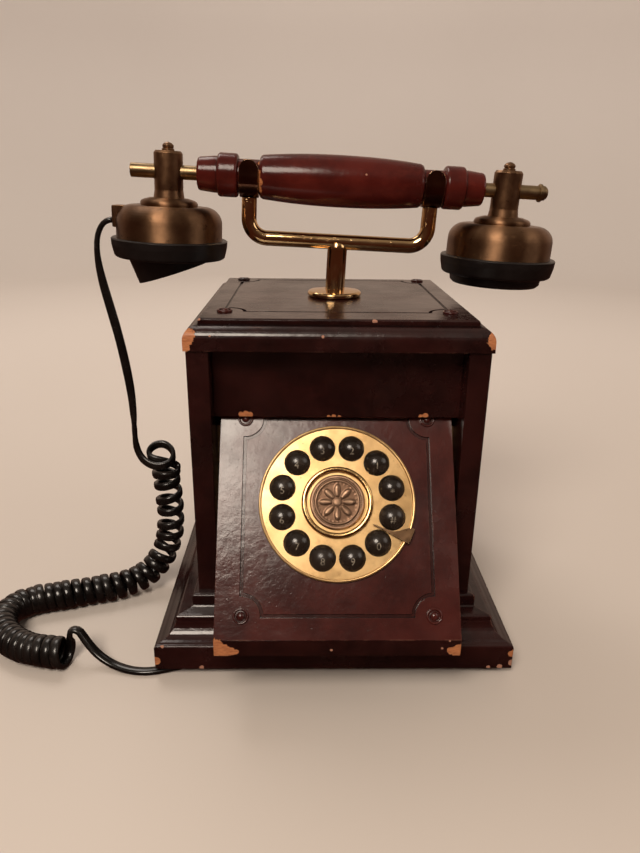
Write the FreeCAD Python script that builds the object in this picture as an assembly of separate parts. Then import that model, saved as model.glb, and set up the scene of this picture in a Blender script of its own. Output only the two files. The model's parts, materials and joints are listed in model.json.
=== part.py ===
"""Vintage push-button telephone: wooden cabinet with a sloping dial box, brass cradle and loose handset.

Millimetres. The origin is on the table, under the centre of the cabinet. +Z is up, the dial faces -Y and
+X is to the viewer's right. Each function below makes one sub-part and writes it to parts/NAME.step.
"""
import FreeCAD, Part
import math
import os

from FreeCAD import Placement, Rotation, Vector

# ---------------------------------------------------------------- driving dimensions
FOOT_H = 4.5            # height of the rubber feet, so that the cord passes under the plinth
CAB_W = 146.0           # cabinet outside width
CAB_D = 148.0           # cabinet outside depth
BOARD_T = 10.75         # side boards
BACK_T = 6.0            # back board
FLOOR_T = 6.0           # base plate
PLINTH_H = 33.3         # plinth height over its lower edge
PLINTH_OUT = 21.35      # how far the plinth stands out from the cabinet
PLINTH_FOOT_H = 14.2    # the plinth's plain lower board
BODY_TOP = 171.0        # underside of the lid
LID_TOP = 185.4         # flat top of the lid
LID_PROUD = 1.0         # how far the lid's bullnose stands out from the cabinet
LID_INSET = 5.7         # from the cabinet's face to the raised flat top
LINTEL_RECESS = 11.0    # front board, behind the side boards' front edges
LINTEL_LIP_T = 3.0      # thin lip of the front board that hides the dial panel's top
LINTEL_LOW = 134.4      # lower edge of that lip

BOX_W = 118.4           # dial box width
PANEL_T = 8.0           # dial panel thickness
PANEL_TILT = 33.8       # dial panel, degrees from vertical
PANEL_TOP_Y = -59.75    # a point of the panel's front face
PANEL_TOP_Z = 132.7
NOSE_Y = -120.5         # front of the dial box's floor
NOSE_TOP = 42.0         # lower edge of the dial panel
NOSE_LOW = 32.5         # underside of the dial box

DIAL_DROP = 43.5        # dial centre, down the slope from the panel's reference point
DIAL_R = 39.0
BEZEL_W = 1.5
BEZEL_H = 2.2
DIAL_PLATE_T = 1.2
KEY_CIRCLE_R = 28.2
KEY_R = 6.3
KEY_TRAVEL = 2.0
KEY_GAP = 0.3           # round each key in its hole
RING_OUT_R = 17.85
RING_IN_R = 15.15
BADGE_R = 13.65
STOP_REACH = 40.2       # outer end of the finger stop
LINE_X = 46.5           # engraved border of the dial panel
LINE_TOP = 0.7          # its corners, down the slope
LINE_LOW = 98.0
LINE_CORNER_R = 10.0    # concave corners round the studs
LINE_W = 1.7
LINE_DEPTH = 0.8
LID_LINE_X = 56.5       # engraved border of the lid
LID_LINE_FRONT = -50.0
LID_LINE_BACK = 60.0

FLANGE_R = 15.25
FLANGE_H = 4.0
STEM_R = 5.4
STEM_BORE_R = 5.5
LEAN = 2.4              # the cradle's stem leans to the right in its guides, degrees
LEAN_Z = 183.0          # about this height, and carries the handset with it
HOOK_TRAVEL = 5.0
BAR_R = 4.1
BAR_Z = 215.1
BAR_ARM_X = 49.2
BAR_BEND_R = 10.0
FORK_W = 10.0
FORK_T = 1.8
FORK_GAP = 0.3          # between the fork and the handset's neck
FORK_TOP = 254.9

HAND_Z = 246.5          # handset axis
GRIP_HALF = 43.8
GRIP_R = 13.3
GRIP_END_R = 11.2
NECK_R = 8.6
NECK_END = 55.1
RING_R = 11.1
RING_END = 66.1
TAPER_END = 76.7
ROD_R = 3.65
ROD_LEFT = -112.2
ROD_RIGHT = 107.2
LEFT_CUP_X = -92.4
RIGHT_CUP_X = 89.8
POST_R = 7.6
POST_LOW = 233.2
POST_TOP = 256.9
BELL_R = 28.4
BELL_SKIN = 1.5
CAP_TOP = 212.1
CAP_LOW = 202.0
CAP_R = 31.4
CAP_BORE_DEPTH = 6.6

CORD_D = 4.0            # round tube with the section area of the flat 5 x 3.2 mm cord
COIL_D = 17.5           # outside of the curly part

# ---------------------------------------------------------------- worked out from them
HALF_W = CAB_W / 2
HALF_D = CAB_D / 2
INNER_X = HALF_W - BOARD_T
PLINTH_TOP = FOOT_H + PLINTH_H
FLOOR_TOP = FOOT_H + FLOOR_T
LINTEL_Y = -HALF_D + LINTEL_RECESS
LINTEL_T = 10.0
TILT = math.radians(PANEL_TILT)
PANEL_BACK_SHIFT = PANEL_T / math.cos(TILT)   # along Y at one height
WALL_Y = LINTEL_Y + LINTEL_T                  # front face of the inner front wall
WALL_T = 8.0
WALL_TOP = 126.0
BASE_SCREW_AT = (HALF_W - BOARD_T / 2, 63.0)

SIX_WAYS = [math.radians(60 * i) for i in range(6)]
X_AXIS = Vector(1, 0, 0)
Y_AXIS = Vector(0, 1, 0)
Z_AXIS = Vector(0, 0, 1)


# ---------------------------------------------------------------- small shape helpers
def block(x0, x1, y0, y1, z0, z1):
    return Part.makeBox(x1 - x0, y1 - y0, z1 - z0, Vector(x0, y0, z0))


def rod(r, start, end):
    """A cylinder of radius r from one point to another."""
    a, b = Vector(*start), Vector(*end)
    return Part.makeCylinder(r, (b - a).Length, a, b - a)


def polygon_face(points):
    return Part.Face(Part.makePolygon([Vector(*p) for p in points] + [Vector(*points[0])]))


def prism_x(yz, x0, x1):
    """An outline in the YZ plane, stretched along X."""
    return polygon_face([(x0, y, z) for y, z in yz]).extrude(Vector(x1 - x0, 0, 0))


def prism_y(xz, y0, y1):
    """An outline in the XZ plane, stretched along Y."""
    return polygon_face([(x, y0, z) for x, z in xz]).extrude(Vector(0, y1 - y0, 0))


def prism_z(xy, z0, z1):
    """An outline in the XY plane, stretched along Z."""
    return polygon_face([(x, y, z0) for x, y in xy]).extrude(Vector(0, 0, z1 - z0))


def turned(rz, centre=(0, 0, 0), axis=Z_AXIS):
    """A solid of revolution: (radius, height) pairs turned about an axis through a centre."""
    face = polygon_face([(r, 0, z) for r, z in rz])
    solid = face.revolve(Vector(0, 0, 0), Z_AXIS, 360)
    solid.Placement = Placement(Vector(*centre), Rotation(Z_AXIS, axis))
    return solid


def arc_points(centre, r, start_deg, end_deg, steps):
    """Points on an arc, both ends included."""
    span = end_deg - start_deg
    angles = [math.radians(start_deg + span * i / steps) for i in range(steps + 1)]
    return [(centre[0] + r * math.cos(a), centre[1] + r * math.sin(a)) for a in angles]


def mirrored(points):
    """A half outline of (x, z) with x over 0, closed by its mirror image."""
    return points + [(-x, z) for x, z in reversed(points)]


def path_wire(points, radius_share=0.45, name="", exact_radius=None):
    """Straight runs joined by tangent arcs. Each arc takes a share of the shorter run beside it."""
    p = [Vector(*q) for q in points]
    edges, radii, start = [], [], p[0]
    for before, corner, after in zip(p, p[1:], p[2:]):
        into, out = corner - before, after - corner
        half_turn = into.getAngle(out) / 2
        reach = radius_share * min(into.Length, out.Length)
        if exact_radius:
            reach = exact_radius * math.tan(half_turn)
        radii.append(reach / math.tan(half_turn))
        a = corner - into.normalize() * reach
        b = corner + out.normalize() * reach
        bisector = ((a - corner) + (b - corner)).normalize()
        sagitta = radii[-1] * (1 / math.cos(half_turn) - 1)
        if (a - start).Length > 1e-6:
            edges.append(Part.LineSegment(start, a).toShape())
        edges.append(Part.Arc(a, corner + bisector * sagitta, b).toShape())
        start = b
    edges.append(Part.LineSegment(start, p[-1]).toShape())
    if name:
        print(name, "length", round(sum(e.Length for e in edges), 1), "radii", [round(r, 1) for r in radii])
    return Part.Wire(edges)


def tube(points, r, name="", exact_radius=None):
    """A round tube along a route, with its volume compared with its section times its length."""
    wire = path_wire(points, name=name, exact_radius=exact_radius)
    along = Vector(*points[1]) - Vector(*points[0])
    section = Part.Wire(Part.makeCircle(r, Vector(*points[0]), along))
    solid = wire.makePipeShell([section], True, False)
    if name:
        print(name, "volume share", round(solid.Volume / (math.pi * r * r * wire.Length), 4), solid.isValid())
    return solid


LEAN_PLACE = Placement(Vector(0, 0, 0), Rotation(Vector(0, 1, 0), LEAN), Vector(0, 0, LEAN_Z))


def leaned(shape):
    """A part that leans with the cradle's stem."""
    return shape.rotated(Vector(0, 0, LEAN_Z), Y_AXIS, LEAN)


def save_leaned(name, *shapes):
    save(name, *[leaned(shape) for shape in shapes])


def save(name, *shapes):
    """Writes one node: a single solid, or a group of separate solids."""
    solids = [s for shape in shapes for s in shape.Solids]
    for s in solids:
        if not s.isValid() or s.Volume <= 0:
            print("BAD SOLID in", name)
    result = solids[0] if len(solids) == 1 else Part.makeCompound(solids)
    result.exportStep(os.path.join("parts", name + ".step"))


# ---------------------------------------------------------------- frame of the sloping dial panel
DIAL_CENTRE = Vector(
    0,
    PANEL_TOP_Y - DIAL_DROP * math.sin(TILT),
    PANEL_TOP_Z - DIAL_DROP * math.cos(TILT),
)
DIAL_PLACE = Placement(DIAL_CENTRE, Rotation(X_AXIS, 90 - PANEL_TILT))


def on_dial(shape):
    """Moves a shape made at the origin, with +Z out of the panel and +Y up its slope, onto the dial."""
    placed = shape.copy()
    placed.Placement = DIAL_PLACE.multiply(placed.Placement)
    return placed


def panel_front_y(z):
    """Where the dial panel's front face is at a height."""
    return PANEL_TOP_Y + (z - PANEL_TOP_Z) * math.tan(TILT)


# ---------------------------------------------------------------- engraved borders and studs
def border_outline(x, low, high, out):
    """A rectangle about x = 0 whose corners are arcs that curve inwards, moved outwards by out, closed."""
    r = LINE_CORNER_R - out
    past = math.degrees(math.asin(out / r))

    def corner(cx, cy, start):
        turns = [math.radians(a) for a in (start - past, start + 45, start + 90 + past)]
        return [Vector(cx + r * math.cos(a), cy + r * math.sin(a), 0) for a in turns]

    arcs = [corner(x, high, 180), corner(x, low, 90), corner(-x, low, 0), corner(-x, high, 270)]
    edges = []
    for i, pts in enumerate(arcs):
        edges.append(Part.Arc(*pts).toShape())
        edges.append(Part.LineSegment(pts[2], arcs[(i + 1) % 4][0]).toShape())
    return Part.Wire(edges)


def border_groove(x, low, high):
    """The cutter for an engraved line: a thin band, LINE_DEPTH deep below z = 0."""
    outer = Part.Face(border_outline(x, low, high, LINE_W / 2))
    inner = Part.Face(border_outline(x, low, high, -LINE_W / 2))
    return outer.cut(inner).extrude(Vector(0, 0, LINE_DEPTH + 1)).translated(Vector(0, 0, -LINE_DEPTH))


def stud():
    """A ringed stud that stands on z = 0: a low dish with a raised rim and a domed centre."""
    dome = arc_points((0, -0.9), 2.4, 90, 23, 8)
    outline = [(0, 0), (3.9, 0)] + arc_points((3.35, 0.5), 0.55, 0, 180, 8) + [(2.6, 0.35)]
    return turned(outline + [(2.2, 0.38)] + list(reversed([(x, max(z, 0.38)) for x, z in dome])))


def corner_studs():
    lid = [(x, y) for x in (-LID_LINE_X, LID_LINE_X) for y in (LID_LINE_FRONT, LID_LINE_BACK)]
    on_lid = [stud().translated(Vector(x, y, LID_TOP)) for x, y in lid]
    panel = [(x, DIAL_DROP - v) for x in (-LINE_X, LINE_X) for v in (LINE_TOP, LINE_LOW)]
    on_panel = [on_dial(stud().translated(Vector(x, y, 0))) for x, y in panel]
    return on_lid + on_panel


# ---------------------------------------------------------------- cabinet
def plinth_profile():
    """(distance out from the cabinet, height over the plinth's lower edge), from the top edge down."""
    top_bead = arc_points((1.8, PLINTH_H - 1.4), 1.4, 90, 0, 4)
    low_bead = arc_points((9.4, 24.0), 1.7, 90, -10, 5)
    cove = arc_points((20.0, 23.6), 9.0, 192, 262, 7)
    edge = arc_points((PLINTH_OUT - 1.6, PLINTH_FOOT_H - 1.6), 1.6, 90, 0, 4)
    return top_bead + [(3.2, 26.9), (4.0, 26.2)] + low_bead + [(10.9, 22.4)] + cove + edge + [(PLINTH_OUT, 0)]


def plinth_moulding():
    """Four mitred lengths round the cabinet, with the front one cut away where the dial box passes."""
    side = [(HALF_W + d, FOOT_H + z) for d, z in plinth_profile()]
    front = [(HALF_D + d, FOOT_H + z) for d, z in plinth_profile()]
    whole = prism_y(mirrored(side), -HALF_D - 30, HALF_D + 30).common(
        prism_x(mirrored(front), -HALF_W - 30, HALF_W + 30)
    )
    whole = whole.cut(block(-HALF_W, HALF_W, -HALF_D, HALF_D, 0, PLINTH_TOP + 1))
    gap = 0.3
    half_box = BOX_W / 2 + gap
    whole = whole.cut(block(-half_box, half_box, -HALF_D - 30, -HALF_D + 1, NOSE_LOW - gap, PLINTH_TOP + 1))
    ox, oy = HALF_W + 30, HALF_D + 30
    corners_in = [(-HALF_W, -HALF_D), (HALF_W, -HALF_D), (HALF_W, HALF_D), (-HALF_W, HALF_D)]
    corners_out = [(-ox, -oy), (ox, -oy), (ox, oy), (-ox, oy)]
    lengths = []
    for i in range(4):
        j = (i + 1) % 4
        wedge = [corners_in[i], corners_out[i], corners_out[j], corners_in[j]]
        lengths.append(whole.common(prism_z(wedge, 0, PLINTH_TOP + 1)))
    return lengths


def lid_profile():
    """(distance in from the cabinet's face, height) of the lid's edge, from the underside up."""
    nose_r = 6.0
    nose = arc_points((nose_r - LID_PROUD, 176.2), nose_r, 180, 92, 8)
    riser = [(LID_INSET, 181.7), (LID_INSET, LID_TOP - 0.7), (LID_INSET + 0.7, LID_TOP)]
    return [(-LID_PROUD, BODY_TOP)] + nose + riser


def top_board():
    side = [(HALF_W - d, z) for d, z in lid_profile()]
    front = [(HALF_D - d, z) for d, z in lid_profile()]
    lid = prism_y(mirrored(side), -HALF_D - 5, HALF_D + 5).common(
        prism_x(mirrored(front), -HALF_W - 5, HALF_W + 5)
    )
    groove = border_groove(LID_LINE_X, LID_LINE_FRONT, LID_LINE_BACK).translated(Vector(0, 0, LID_TOP))
    return lid.cut(groove).cut(rod(BUSH_R, (0, 0, BODY_TOP - 1), (0, 0, LID_TOP + 1)))


def side_panel(sign, screws):
    x0, x1 = sorted((sign * INNER_X, sign * HALF_W))
    panel = block(x0, x1, -HALF_D, HALF_D - BACK_T, FLOOR_TOP, BODY_TOP)
    for s in screws:
        panel = panel.cut(s)
    return panel


def back_panel(screws):
    panel = block(-HALF_W, HALF_W, HALF_D - BACK_T, HALF_D, FLOOR_TOP, BODY_TOP)
    x0, x1, z0, z1 = JACK_HOLE
    panel = panel.cut(block(x0, x1, HALF_D - BACK_T - 1, HALF_D + 1, z0, z1))
    for s in screws:
        panel = panel.cut(s)
    return panel


def front_board():
    """The board over the dial box. Behind its thin lower lip there is room for the dial panel's top."""
    step_z = LINTEL_LOW + 6.1
    outline = [
        (LINTEL_Y, LINTEL_LOW),
        (LINTEL_Y + LINTEL_LIP_T, LINTEL_LOW),
        (LINTEL_Y + LINTEL_LIP_T, step_z),
        (WALL_Y, step_z),
        (WALL_Y, BODY_TOP),
        (LINTEL_Y, BODY_TOP),
    ]
    return prism_x(outline, -INNER_X, INNER_X)


def front_wall():
    """Inside wall behind the dial box, open above for the keypad and its wires."""
    wall = block(-INNER_X, INNER_X, WALL_Y, WALL_Y + WALL_T, FLOOR_TOP, WALL_TOP)
    window_half = BOX_W / 2 - 11
    y0, y1 = WALL_Y - 1, WALL_Y + WALL_T + 1
    return wall.cut(block(-window_half, window_half, y0, y1, NOSE_TOP + 4, WALL_TOP + 1))


def base_plate(screws):
    plate = block(-HALF_W, HALF_W, -HALF_D, HALF_D, FOOT_H, FLOOR_TOP)
    for s in screws:
        plate = plate.cut(s)
    return plate.cut(gland_block(clearance=0.0))


def rubber_feet():
    profile = [(0, 0), (7.0, 0), (8.0, FOOT_H), (0, FOOT_H)]
    return [turned(profile, (x, y, 0)) for x in (-62, 62) for y in (-52, 52)]


# ---------------------------------------------------------------- dial box
def dial_panel(screws):
    top_z = LINTEL_LOW + 5.1
    outline = [
        (panel_front_y(top_z), top_z),
        (panel_front_y(NOSE_TOP), NOSE_TOP),
        (panel_front_y(NOSE_TOP) + PANEL_BACK_SHIFT, NOSE_TOP),
        (panel_front_y(top_z) + PANEL_BACK_SHIFT, top_z),
    ]
    panel = prism_x(outline, -BOX_W / 2, BOX_W / 2)
    hole = Part.makeCylinder(KEYPAD_HOLE_R, PANEL_T + 2, Vector(0, 0, -PANEL_T - 1))
    groove = border_groove(LINE_X, DIAL_DROP - LINE_LOW, DIAL_DROP - LINE_TOP)
    panel = panel.cut(on_dial(hole)).cut(on_dial(groove))
    for s in screws:
        panel = panel.cut(s)
    return panel


def dial_box_sides():
    cheek_t = 8.0
    back_low = panel_front_y(NOSE_TOP) + PANEL_BACK_SHIFT
    back_high = panel_front_y(WALL_TOP) + PANEL_BACK_SHIFT
    outline = [(back_low, NOSE_TOP), (WALL_Y, NOSE_TOP), (WALL_Y, WALL_TOP), (back_high, WALL_TOP)]
    half = BOX_W / 2
    return [prism_x(outline, half - cheek_t, half), prism_x(outline, -half, -half + cheek_t)]


def dial_box_floor():
    edge_r = 1.2
    outline = [(WALL_Y, NOSE_TOP), (panel_front_y(NOSE_TOP), NOSE_TOP)]
    outline += arc_points((NOSE_Y + edge_r, NOSE_LOW + edge_r), edge_r, 180, 270, 4)
    outline += [(WALL_Y, NOSE_LOW)]
    return prism_x(outline, -BOX_W / 2, BOX_W / 2)


# ---------------------------------------------------------------- dial and keys (local frame, +Z outwards)
KEYPAD_HOLE_R = 36.0
KEY_FLANGE_R = KEY_R + 0.9
KEY_FLANGE_TOP = -0.3
KEY_FLANGE_T = 1.3
KEY_STEM_R = 2.5
KEY_STEM_END = -2.2
MAT_BOSS_TOP = KEY_STEM_END - KEY_TRAVEL - 0.3
MAT_BASE_TOP = -6.2
KEYPAD_SCREW_AT = 39.0


def key_angles():
    """Each key's name and its angle, anticlockwise from the right. They are 30 degrees apart."""
    order = ("1", "2", "3", "4", "5", "6", "7", "8", "9", "0", "hash", "star")
    return [("key_" + name, 45 + 30 * i) for i, name in enumerate(order)]


def key_xy(angle):
    a = math.radians(angle)
    return KEY_CIRCLE_R * math.cos(a), KEY_CIRCLE_R * math.sin(a)


def key(angle):
    """A domed button with a flange that keeps it behind the dial plate, and a stem towards the mat."""
    skirt_top = DIAL_PLATE_T + 0.8
    dome_h = 3.4
    ball_r = (KEY_R**2 + dome_h**2) / (2 * dome_h)
    ball_z = skirt_top + dome_h - ball_r
    edge_angle = math.degrees(math.asin((skirt_top - ball_z) / ball_r))
    dome = arc_points((0, ball_z), ball_r, edge_angle, 90, 10)
    dome[-1] = (0, skirt_top + dome_h)
    outline = [
        (0, KEY_STEM_END),
        (KEY_STEM_R, KEY_STEM_END),
        (KEY_STEM_R, KEY_FLANGE_TOP - KEY_FLANGE_T),
        (KEY_FLANGE_R, KEY_FLANGE_TOP - KEY_FLANGE_T),
        (KEY_FLANGE_R, KEY_FLANGE_TOP),
        (KEY_R, KEY_FLANGE_TOP),
    ] + dome
    x, y = key_xy(angle)
    return on_dial(turned(outline, (x, y, 0)))


def dial_plate():
    plate = Part.makeCylinder(DIAL_R - BEZEL_W, DIAL_PLATE_T)
    for _, angle in key_angles():
        x, y = key_xy(angle)
        plate = plate.cut(Part.makeCylinder(KEY_R + KEY_GAP, DIAL_PLATE_T + 2, Vector(x, y, -1)))
    return on_dial(plate)


def dial_bezel():
    inner = DIAL_R - BEZEL_W
    crown = arc_points((DIAL_R - BEZEL_W / 2, BEZEL_H - BEZEL_W / 2), BEZEL_W / 2, 0, 180, 8)
    return on_dial(turned([(inner, 0), (DIAL_R, 0)] + crown))


def centre_ring():
    mid, half = (RING_OUT_R + RING_IN_R) / 2, (RING_OUT_R - RING_IN_R) / 2
    crown = arc_points((mid, DIAL_PLATE_T + 1.2), half, 0, 180, 10)
    return on_dial(turned([(RING_IN_R, DIAL_PLATE_T), (RING_OUT_R, DIAL_PLATE_T)] + crown))


def centre_badge():
    """A low round medallion with a raised rim; its face carries only a plain rosette."""
    z = DIAL_PLATE_T
    outline = [(0, z), (BADGE_R, z), (BADGE_R, z + 1.0), (BADGE_R - 0.6, z + 1.5), (BADGE_R - 1.4, z + 1.5)]
    return on_dial(turned(outline + [(BADGE_R - 1.8, z + 1.1), (0, z + 1.2)]))


def finger_stop():
    """A thin wedge between two keys that widens on one side and is bent down over the rim to the panel."""
    low, high = BEZEL_H + 0.1, BEZEL_H + 1.2
    straight_side = [(20.8, -0.9), (27.5, -0.65), (33.0, -0.5), (42.0, -0.4)]
    wide_side = [(42.0, 7.9), (38.6, 7.2), (36.4, 6.2), (33.2, 2.9), (31.0, 1.35), (27.5, 0.5), (20.8, -0.5)]
    wedge = prism_z(straight_side + wide_side, 0, high)
    inside = rod(STOP_REACH, (0, 0, low), (0, 0, high))
    tab = rod(STOP_REACH, (0, 0, 0), (0, 0, low)).cut(rod(DIAL_R + 0.2, (0, 0, -1), (0, 0, low + 1)))
    stop = wedge.common(inside).fuse(wedge.common(tab)).removeSplitter()
    stop.Placement = Placement(Vector(0, 0, 0), Rotation(Z_AXIS, -30))
    return on_dial(stop)


def keypad_board(screws):
    half = 42.0
    board = on_dial(block(-half, half, -half, half, -PANEL_T - 1.6, -PANEL_T))
    for s in screws:
        board = board.cut(s)
    return board


def keypad_mat():
    mat = Part.makeCylinder(KEYPAD_HOLE_R - 0.5, MAT_BASE_TOP + PANEL_T, Vector(0, 0, -PANEL_T))
    for _, angle in key_angles():
        x, y = key_xy(angle)
        boss = Part.makeCone(4.2, 3.2, MAT_BOSS_TOP - MAT_BASE_TOP, Vector(x, y, MAT_BASE_TOP))
        mat = mat.fuse(boss)
    return on_dial(mat.removeSplitter())


def keypad_screws():
    """Four pan-head screws that hold the keypad board to the panel's back."""
    at = [(x, y) for x in (-KEYPAD_SCREW_AT, KEYPAD_SCREW_AT) for y in (-KEYPAD_SCREW_AT, KEYPAD_SCREW_AT)]
    back = -PANEL_T - 1.6
    tip = back + 6.5
    outline = [(0, back - 1.8), (2.6, back - 1.8), (2.6, back), (1.3, back), (1.3, tip - 1), (0, tip)]
    return [on_dial(turned(outline, (x, y, 0))) for x, y in at]


# ---------------------------------------------------------------- cradle
BUSH_R = 8.5
COLLAR_TOP = BODY_TOP - HOOK_TRAVEL - 0.4
COLLAR_T = 4.0
GUIDE_TOP = 141.0       # top of the bracket plate that guides the stem's lower end
GUIDE_T = 2.0
STEM_END = 133.0


def stem_flange():
    """The turned flange on the lid, in one piece with the bush that guides the stem."""
    top = LID_TOP + FLANGE_H
    rim = arc_points((FLANGE_R - 1.6, LID_TOP + 1.6), 1.6, -90, 80, 9)
    outline = [(0, BODY_TOP), (BUSH_R, BODY_TOP), (BUSH_R, LID_TOP)] + rim
    outline += [(FLANGE_R - 4.5, top - 0.4), (STEM_R + 2.0, top), (0, top)]
    return turned(outline).cut(leaned(rod(STEM_BORE_R, (0, 0, BODY_TOP - 2), (0, 0, top + 2))))


def cradle_bar():
    points = [
        (-BAR_ARM_X, 0, HAND_Z - NECK_R - FORK_GAP - FORK_T),
        (-BAR_ARM_X, 0, BAR_Z),
        (BAR_ARM_X, 0, BAR_Z),
        (BAR_ARM_X, 0, HAND_Z - NECK_R - FORK_GAP - FORK_T),
    ]
    return tube(points, BAR_R, exact_radius=BAR_BEND_R)


def cradle_stem():
    dome_z = BAR_Z - 3.5
    dome = arc_points((0, dome_z), STEM_R, 0, 90, 8)
    dome[-1] = (0, dome_z + STEM_R)
    stem = turned([(0, STEM_END), (STEM_R - 0.5, STEM_END), (STEM_R, STEM_END + 0.5)] + dome)
    return stem.cut(rod(BAR_R, (-20, 0, BAR_Z), (20, 0, BAR_Z)))


def cradle_forks():
    """Two straps bent into a U that carries the handset's neck, with round-ended prongs."""
    inner = NECK_R + FORK_GAP
    outer = inner + FORK_T
    low = HAND_Z - outer
    straight = block(-FORK_W / 2, FORK_W / 2, -outer, outer, HAND_Z, FORK_TOP)
    straight = straight.cut(block(-FORK_W, FORK_W, -inner, inner, HAND_Z - 1, FORK_TOP + 1))
    bend = rod(outer, (-FORK_W / 2, 0, HAND_Z), (FORK_W / 2, 0, HAND_Z))
    bend = bend.cut(rod(inner, (-FORK_W, 0, HAND_Z), (FORK_W, 0, HAND_Z)))
    bend = bend.cut(block(-FORK_W, FORK_W, -outer - 1, outer + 1, HAND_Z, HAND_Z + outer + 1))
    strap = bend.fuse(straight).removeSplitter()
    half = FORK_W / 2
    prong = [(half, low - 1)] + arc_points((0, FORK_TOP - half), half, 0, 180, 12) + [(-half, low - 1)]
    strap = strap.common(prism_y(prong, -outer - 1, outer + 1))
    return [strap.translated(Vector(x, 0, 0)) for x in (-BAR_ARM_X, BAR_ARM_X)]


def stem_collar():
    low, outer_r = COLLAR_TOP - COLLAR_T, 9.0
    return turned([(STEM_R, low), (outer_r, low), (outer_r, COLLAR_TOP), (STEM_R, COLLAR_TOP)])


def hook_spring():
    """A compression spring round the stem, between the guide plate and the collar."""
    wire_r = 0.6
    coil_r = STEM_R + 1.4
    end_gap = 0.35
    height = COLLAR_TOP - COLLAR_T - GUIDE_TOP - 2 * wire_r - end_gap - 0.05
    helix = Part.makeHelix(height / 6, height, coil_r)
    section = Part.Wire(Part.makeCircle(wire_r, Vector(coil_r, 0, 0), Y_AXIS))
    return Part.Wire(helix.Edges).makePipeShell([section], True, True).translated(
        Vector(0, 0, GUIDE_TOP + wire_r + end_gap)
    )


def hook_switch():
    """A one-armed bracket hung under the lid that guides the stem, with a small lever switch below it."""
    low, high = GUIDE_TOP - GUIDE_T, GUIDE_TOP
    half_y, arm_in, arm_out = 9.0, 16.0, 18.0
    plate = block(-10.0, arm_out, -half_y, half_y, low, high)
    arm = block(arm_in, arm_out, -half_y, half_y, low, BODY_TOP)
    hanger = block(20.0, 22.0, -3.2, 3.2, 118.0, low).fuse(block(12.0, 22.0, -3.2, 3.2, low - 2.0, low))
    bore = leaned(rod(STEM_BORE_R, (0, 0, low - 2), (0, 0, high + 2)))
    bracket = plate.fuse(arm).fuse(hanger).cut(bore).removeSplitter()
    switch = block(8.0, 20.0, -3.2, 3.2, 118.0, 128.0)
    post = block(18.0, 20.0, -3.2, 3.2, 128.0, 130.4)
    plunger = block(12.5, 14.0, -1.0, 1.0, 128.0, 130.4)
    lever = block(-4.0, 19.0, -2.0, 2.0, 130.4, 130.9)
    return [bracket, switch.fuse(post).fuse(plunger).fuse(lever).removeSplitter()]


# ---------------------------------------------------------------- handset
def along_x(profile):
    """A turned part of the handset: (x, radius) pairs about the handset's axis."""
    outline = [(profile[0][0], ROD_R)] + profile + [(profile[-1][0], ROD_R)]
    face = polygon_face([(x, 0, r) for x, r in outline])
    solid = face.revolve(Vector(0, 0, 0), X_AXIS, 360)
    return solid.translated(Vector(0, 0, HAND_Z))


def handset_grip():
    """Barrel-shaped grip with a narrower neck at each end, where the forks hold it."""
    edge = 1.8
    half = [(0, GRIP_R)]
    for i in range(1, 13):
        t = i / 12
        half.append(((GRIP_HALF - edge) * t, GRIP_R - (GRIP_R - GRIP_END_R) * t**2.2))
    half += [(GRIP_HALF - 0.6, GRIP_END_R - 0.7), (GRIP_HALF, GRIP_END_R - 1.9)]
    half += [(GRIP_HALF, NECK_R), (NECK_END, NECK_R)]
    return along_x([(-x, r) for x, r in reversed(half[1:])] + half)


def end_collars():
    """A round ring and a tapered collar on each side, turned in one piece."""
    edge = 1.6
    ring = arc_points((NECK_END + edge, RING_R - edge), edge, 180, 90, 4)
    ring += arc_points((RING_END - edge, RING_R - edge), edge, 90, 0, 4)
    taper = [(RING_END, 9.3), (RING_END + 2, 9.3)]
    taper += [(TAPER_END - 1.2, 8.5), (TAPER_END - 0.3, 8.0), (TAPER_END, 7.2)]
    right = along_x(ring + taper)
    left = right.mirror(Vector(0, 0, 0), X_AXIS)
    return [left, right]


def handset_rod():
    return rod(ROD_R, (ROD_LEFT, 0, HAND_Z), (ROD_RIGHT, 0, HAND_Z))


def rod_finial():
    """A flanged knob with a point, on the rod's right end."""
    outline = [(0, 0), (4.0, 0), (4.7, 0.4), (4.7, 1.5), (3.9, 2.1), (3.7, 3.6), (2.5, 4.8), (0, 5.6)]
    return turned(outline, (ROD_RIGHT, 0, HAND_Z), X_AXIS)


def cup_posts():
    bore = rod(ROD_R, (-130, 0, HAND_Z), (130, 0, HAND_Z))
    outline = [(0, POST_LOW), (POST_R + 0.6, POST_LOW), (POST_R + 0.3, POST_LOW + 2), (POST_R, POST_LOW + 4)]
    outline += [(POST_R, POST_TOP - 1.2), (POST_R - 0.9, POST_TOP), (0, POST_TOP)]
    return [turned(outline, (x, 0, 0)).cut(bore) for x in (LEFT_CUP_X, RIGHT_CUP_X)]


def post_screws():
    """Knurled acorn screws that clamp the rod in each post."""
    z = POST_TOP
    outline = [(0, z), (3.3, z), (3.3, z + 0.9), (2.6, z + 1.2), (3.0, z + 1.8), (3.0, z + 2.7)]
    outline += [(2.2, z + 3.6), (1.0, z + 4.2), (0, z + 4.4)]
    return [turned(outline, (x, 0, 0)) for x in (LEFT_CUP_X, RIGHT_CUP_X)]


BELL_BEND_R = 8.5
BELL_BEND_Z = HAND_Z - 25.8
BELL_LOW = CAP_TOP - CAP_BORE_DEPTH


def bell_outline():
    """Outside of a cup from its top centre down to where its side becomes straight."""
    shoulder = arc_points((13.3, 230.2), 2.0, 70, -20, 6)
    crown = arc_points((BELL_R - BELL_BEND_R, BELL_BEND_Z), BELL_BEND_R, 80, 0, 8)
    return [(0, POST_LOW), (10.5, POST_LOW), (12.9, POST_LOW - 0.7)] + shoulder + [(15.0, 229.1)] + crown


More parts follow.
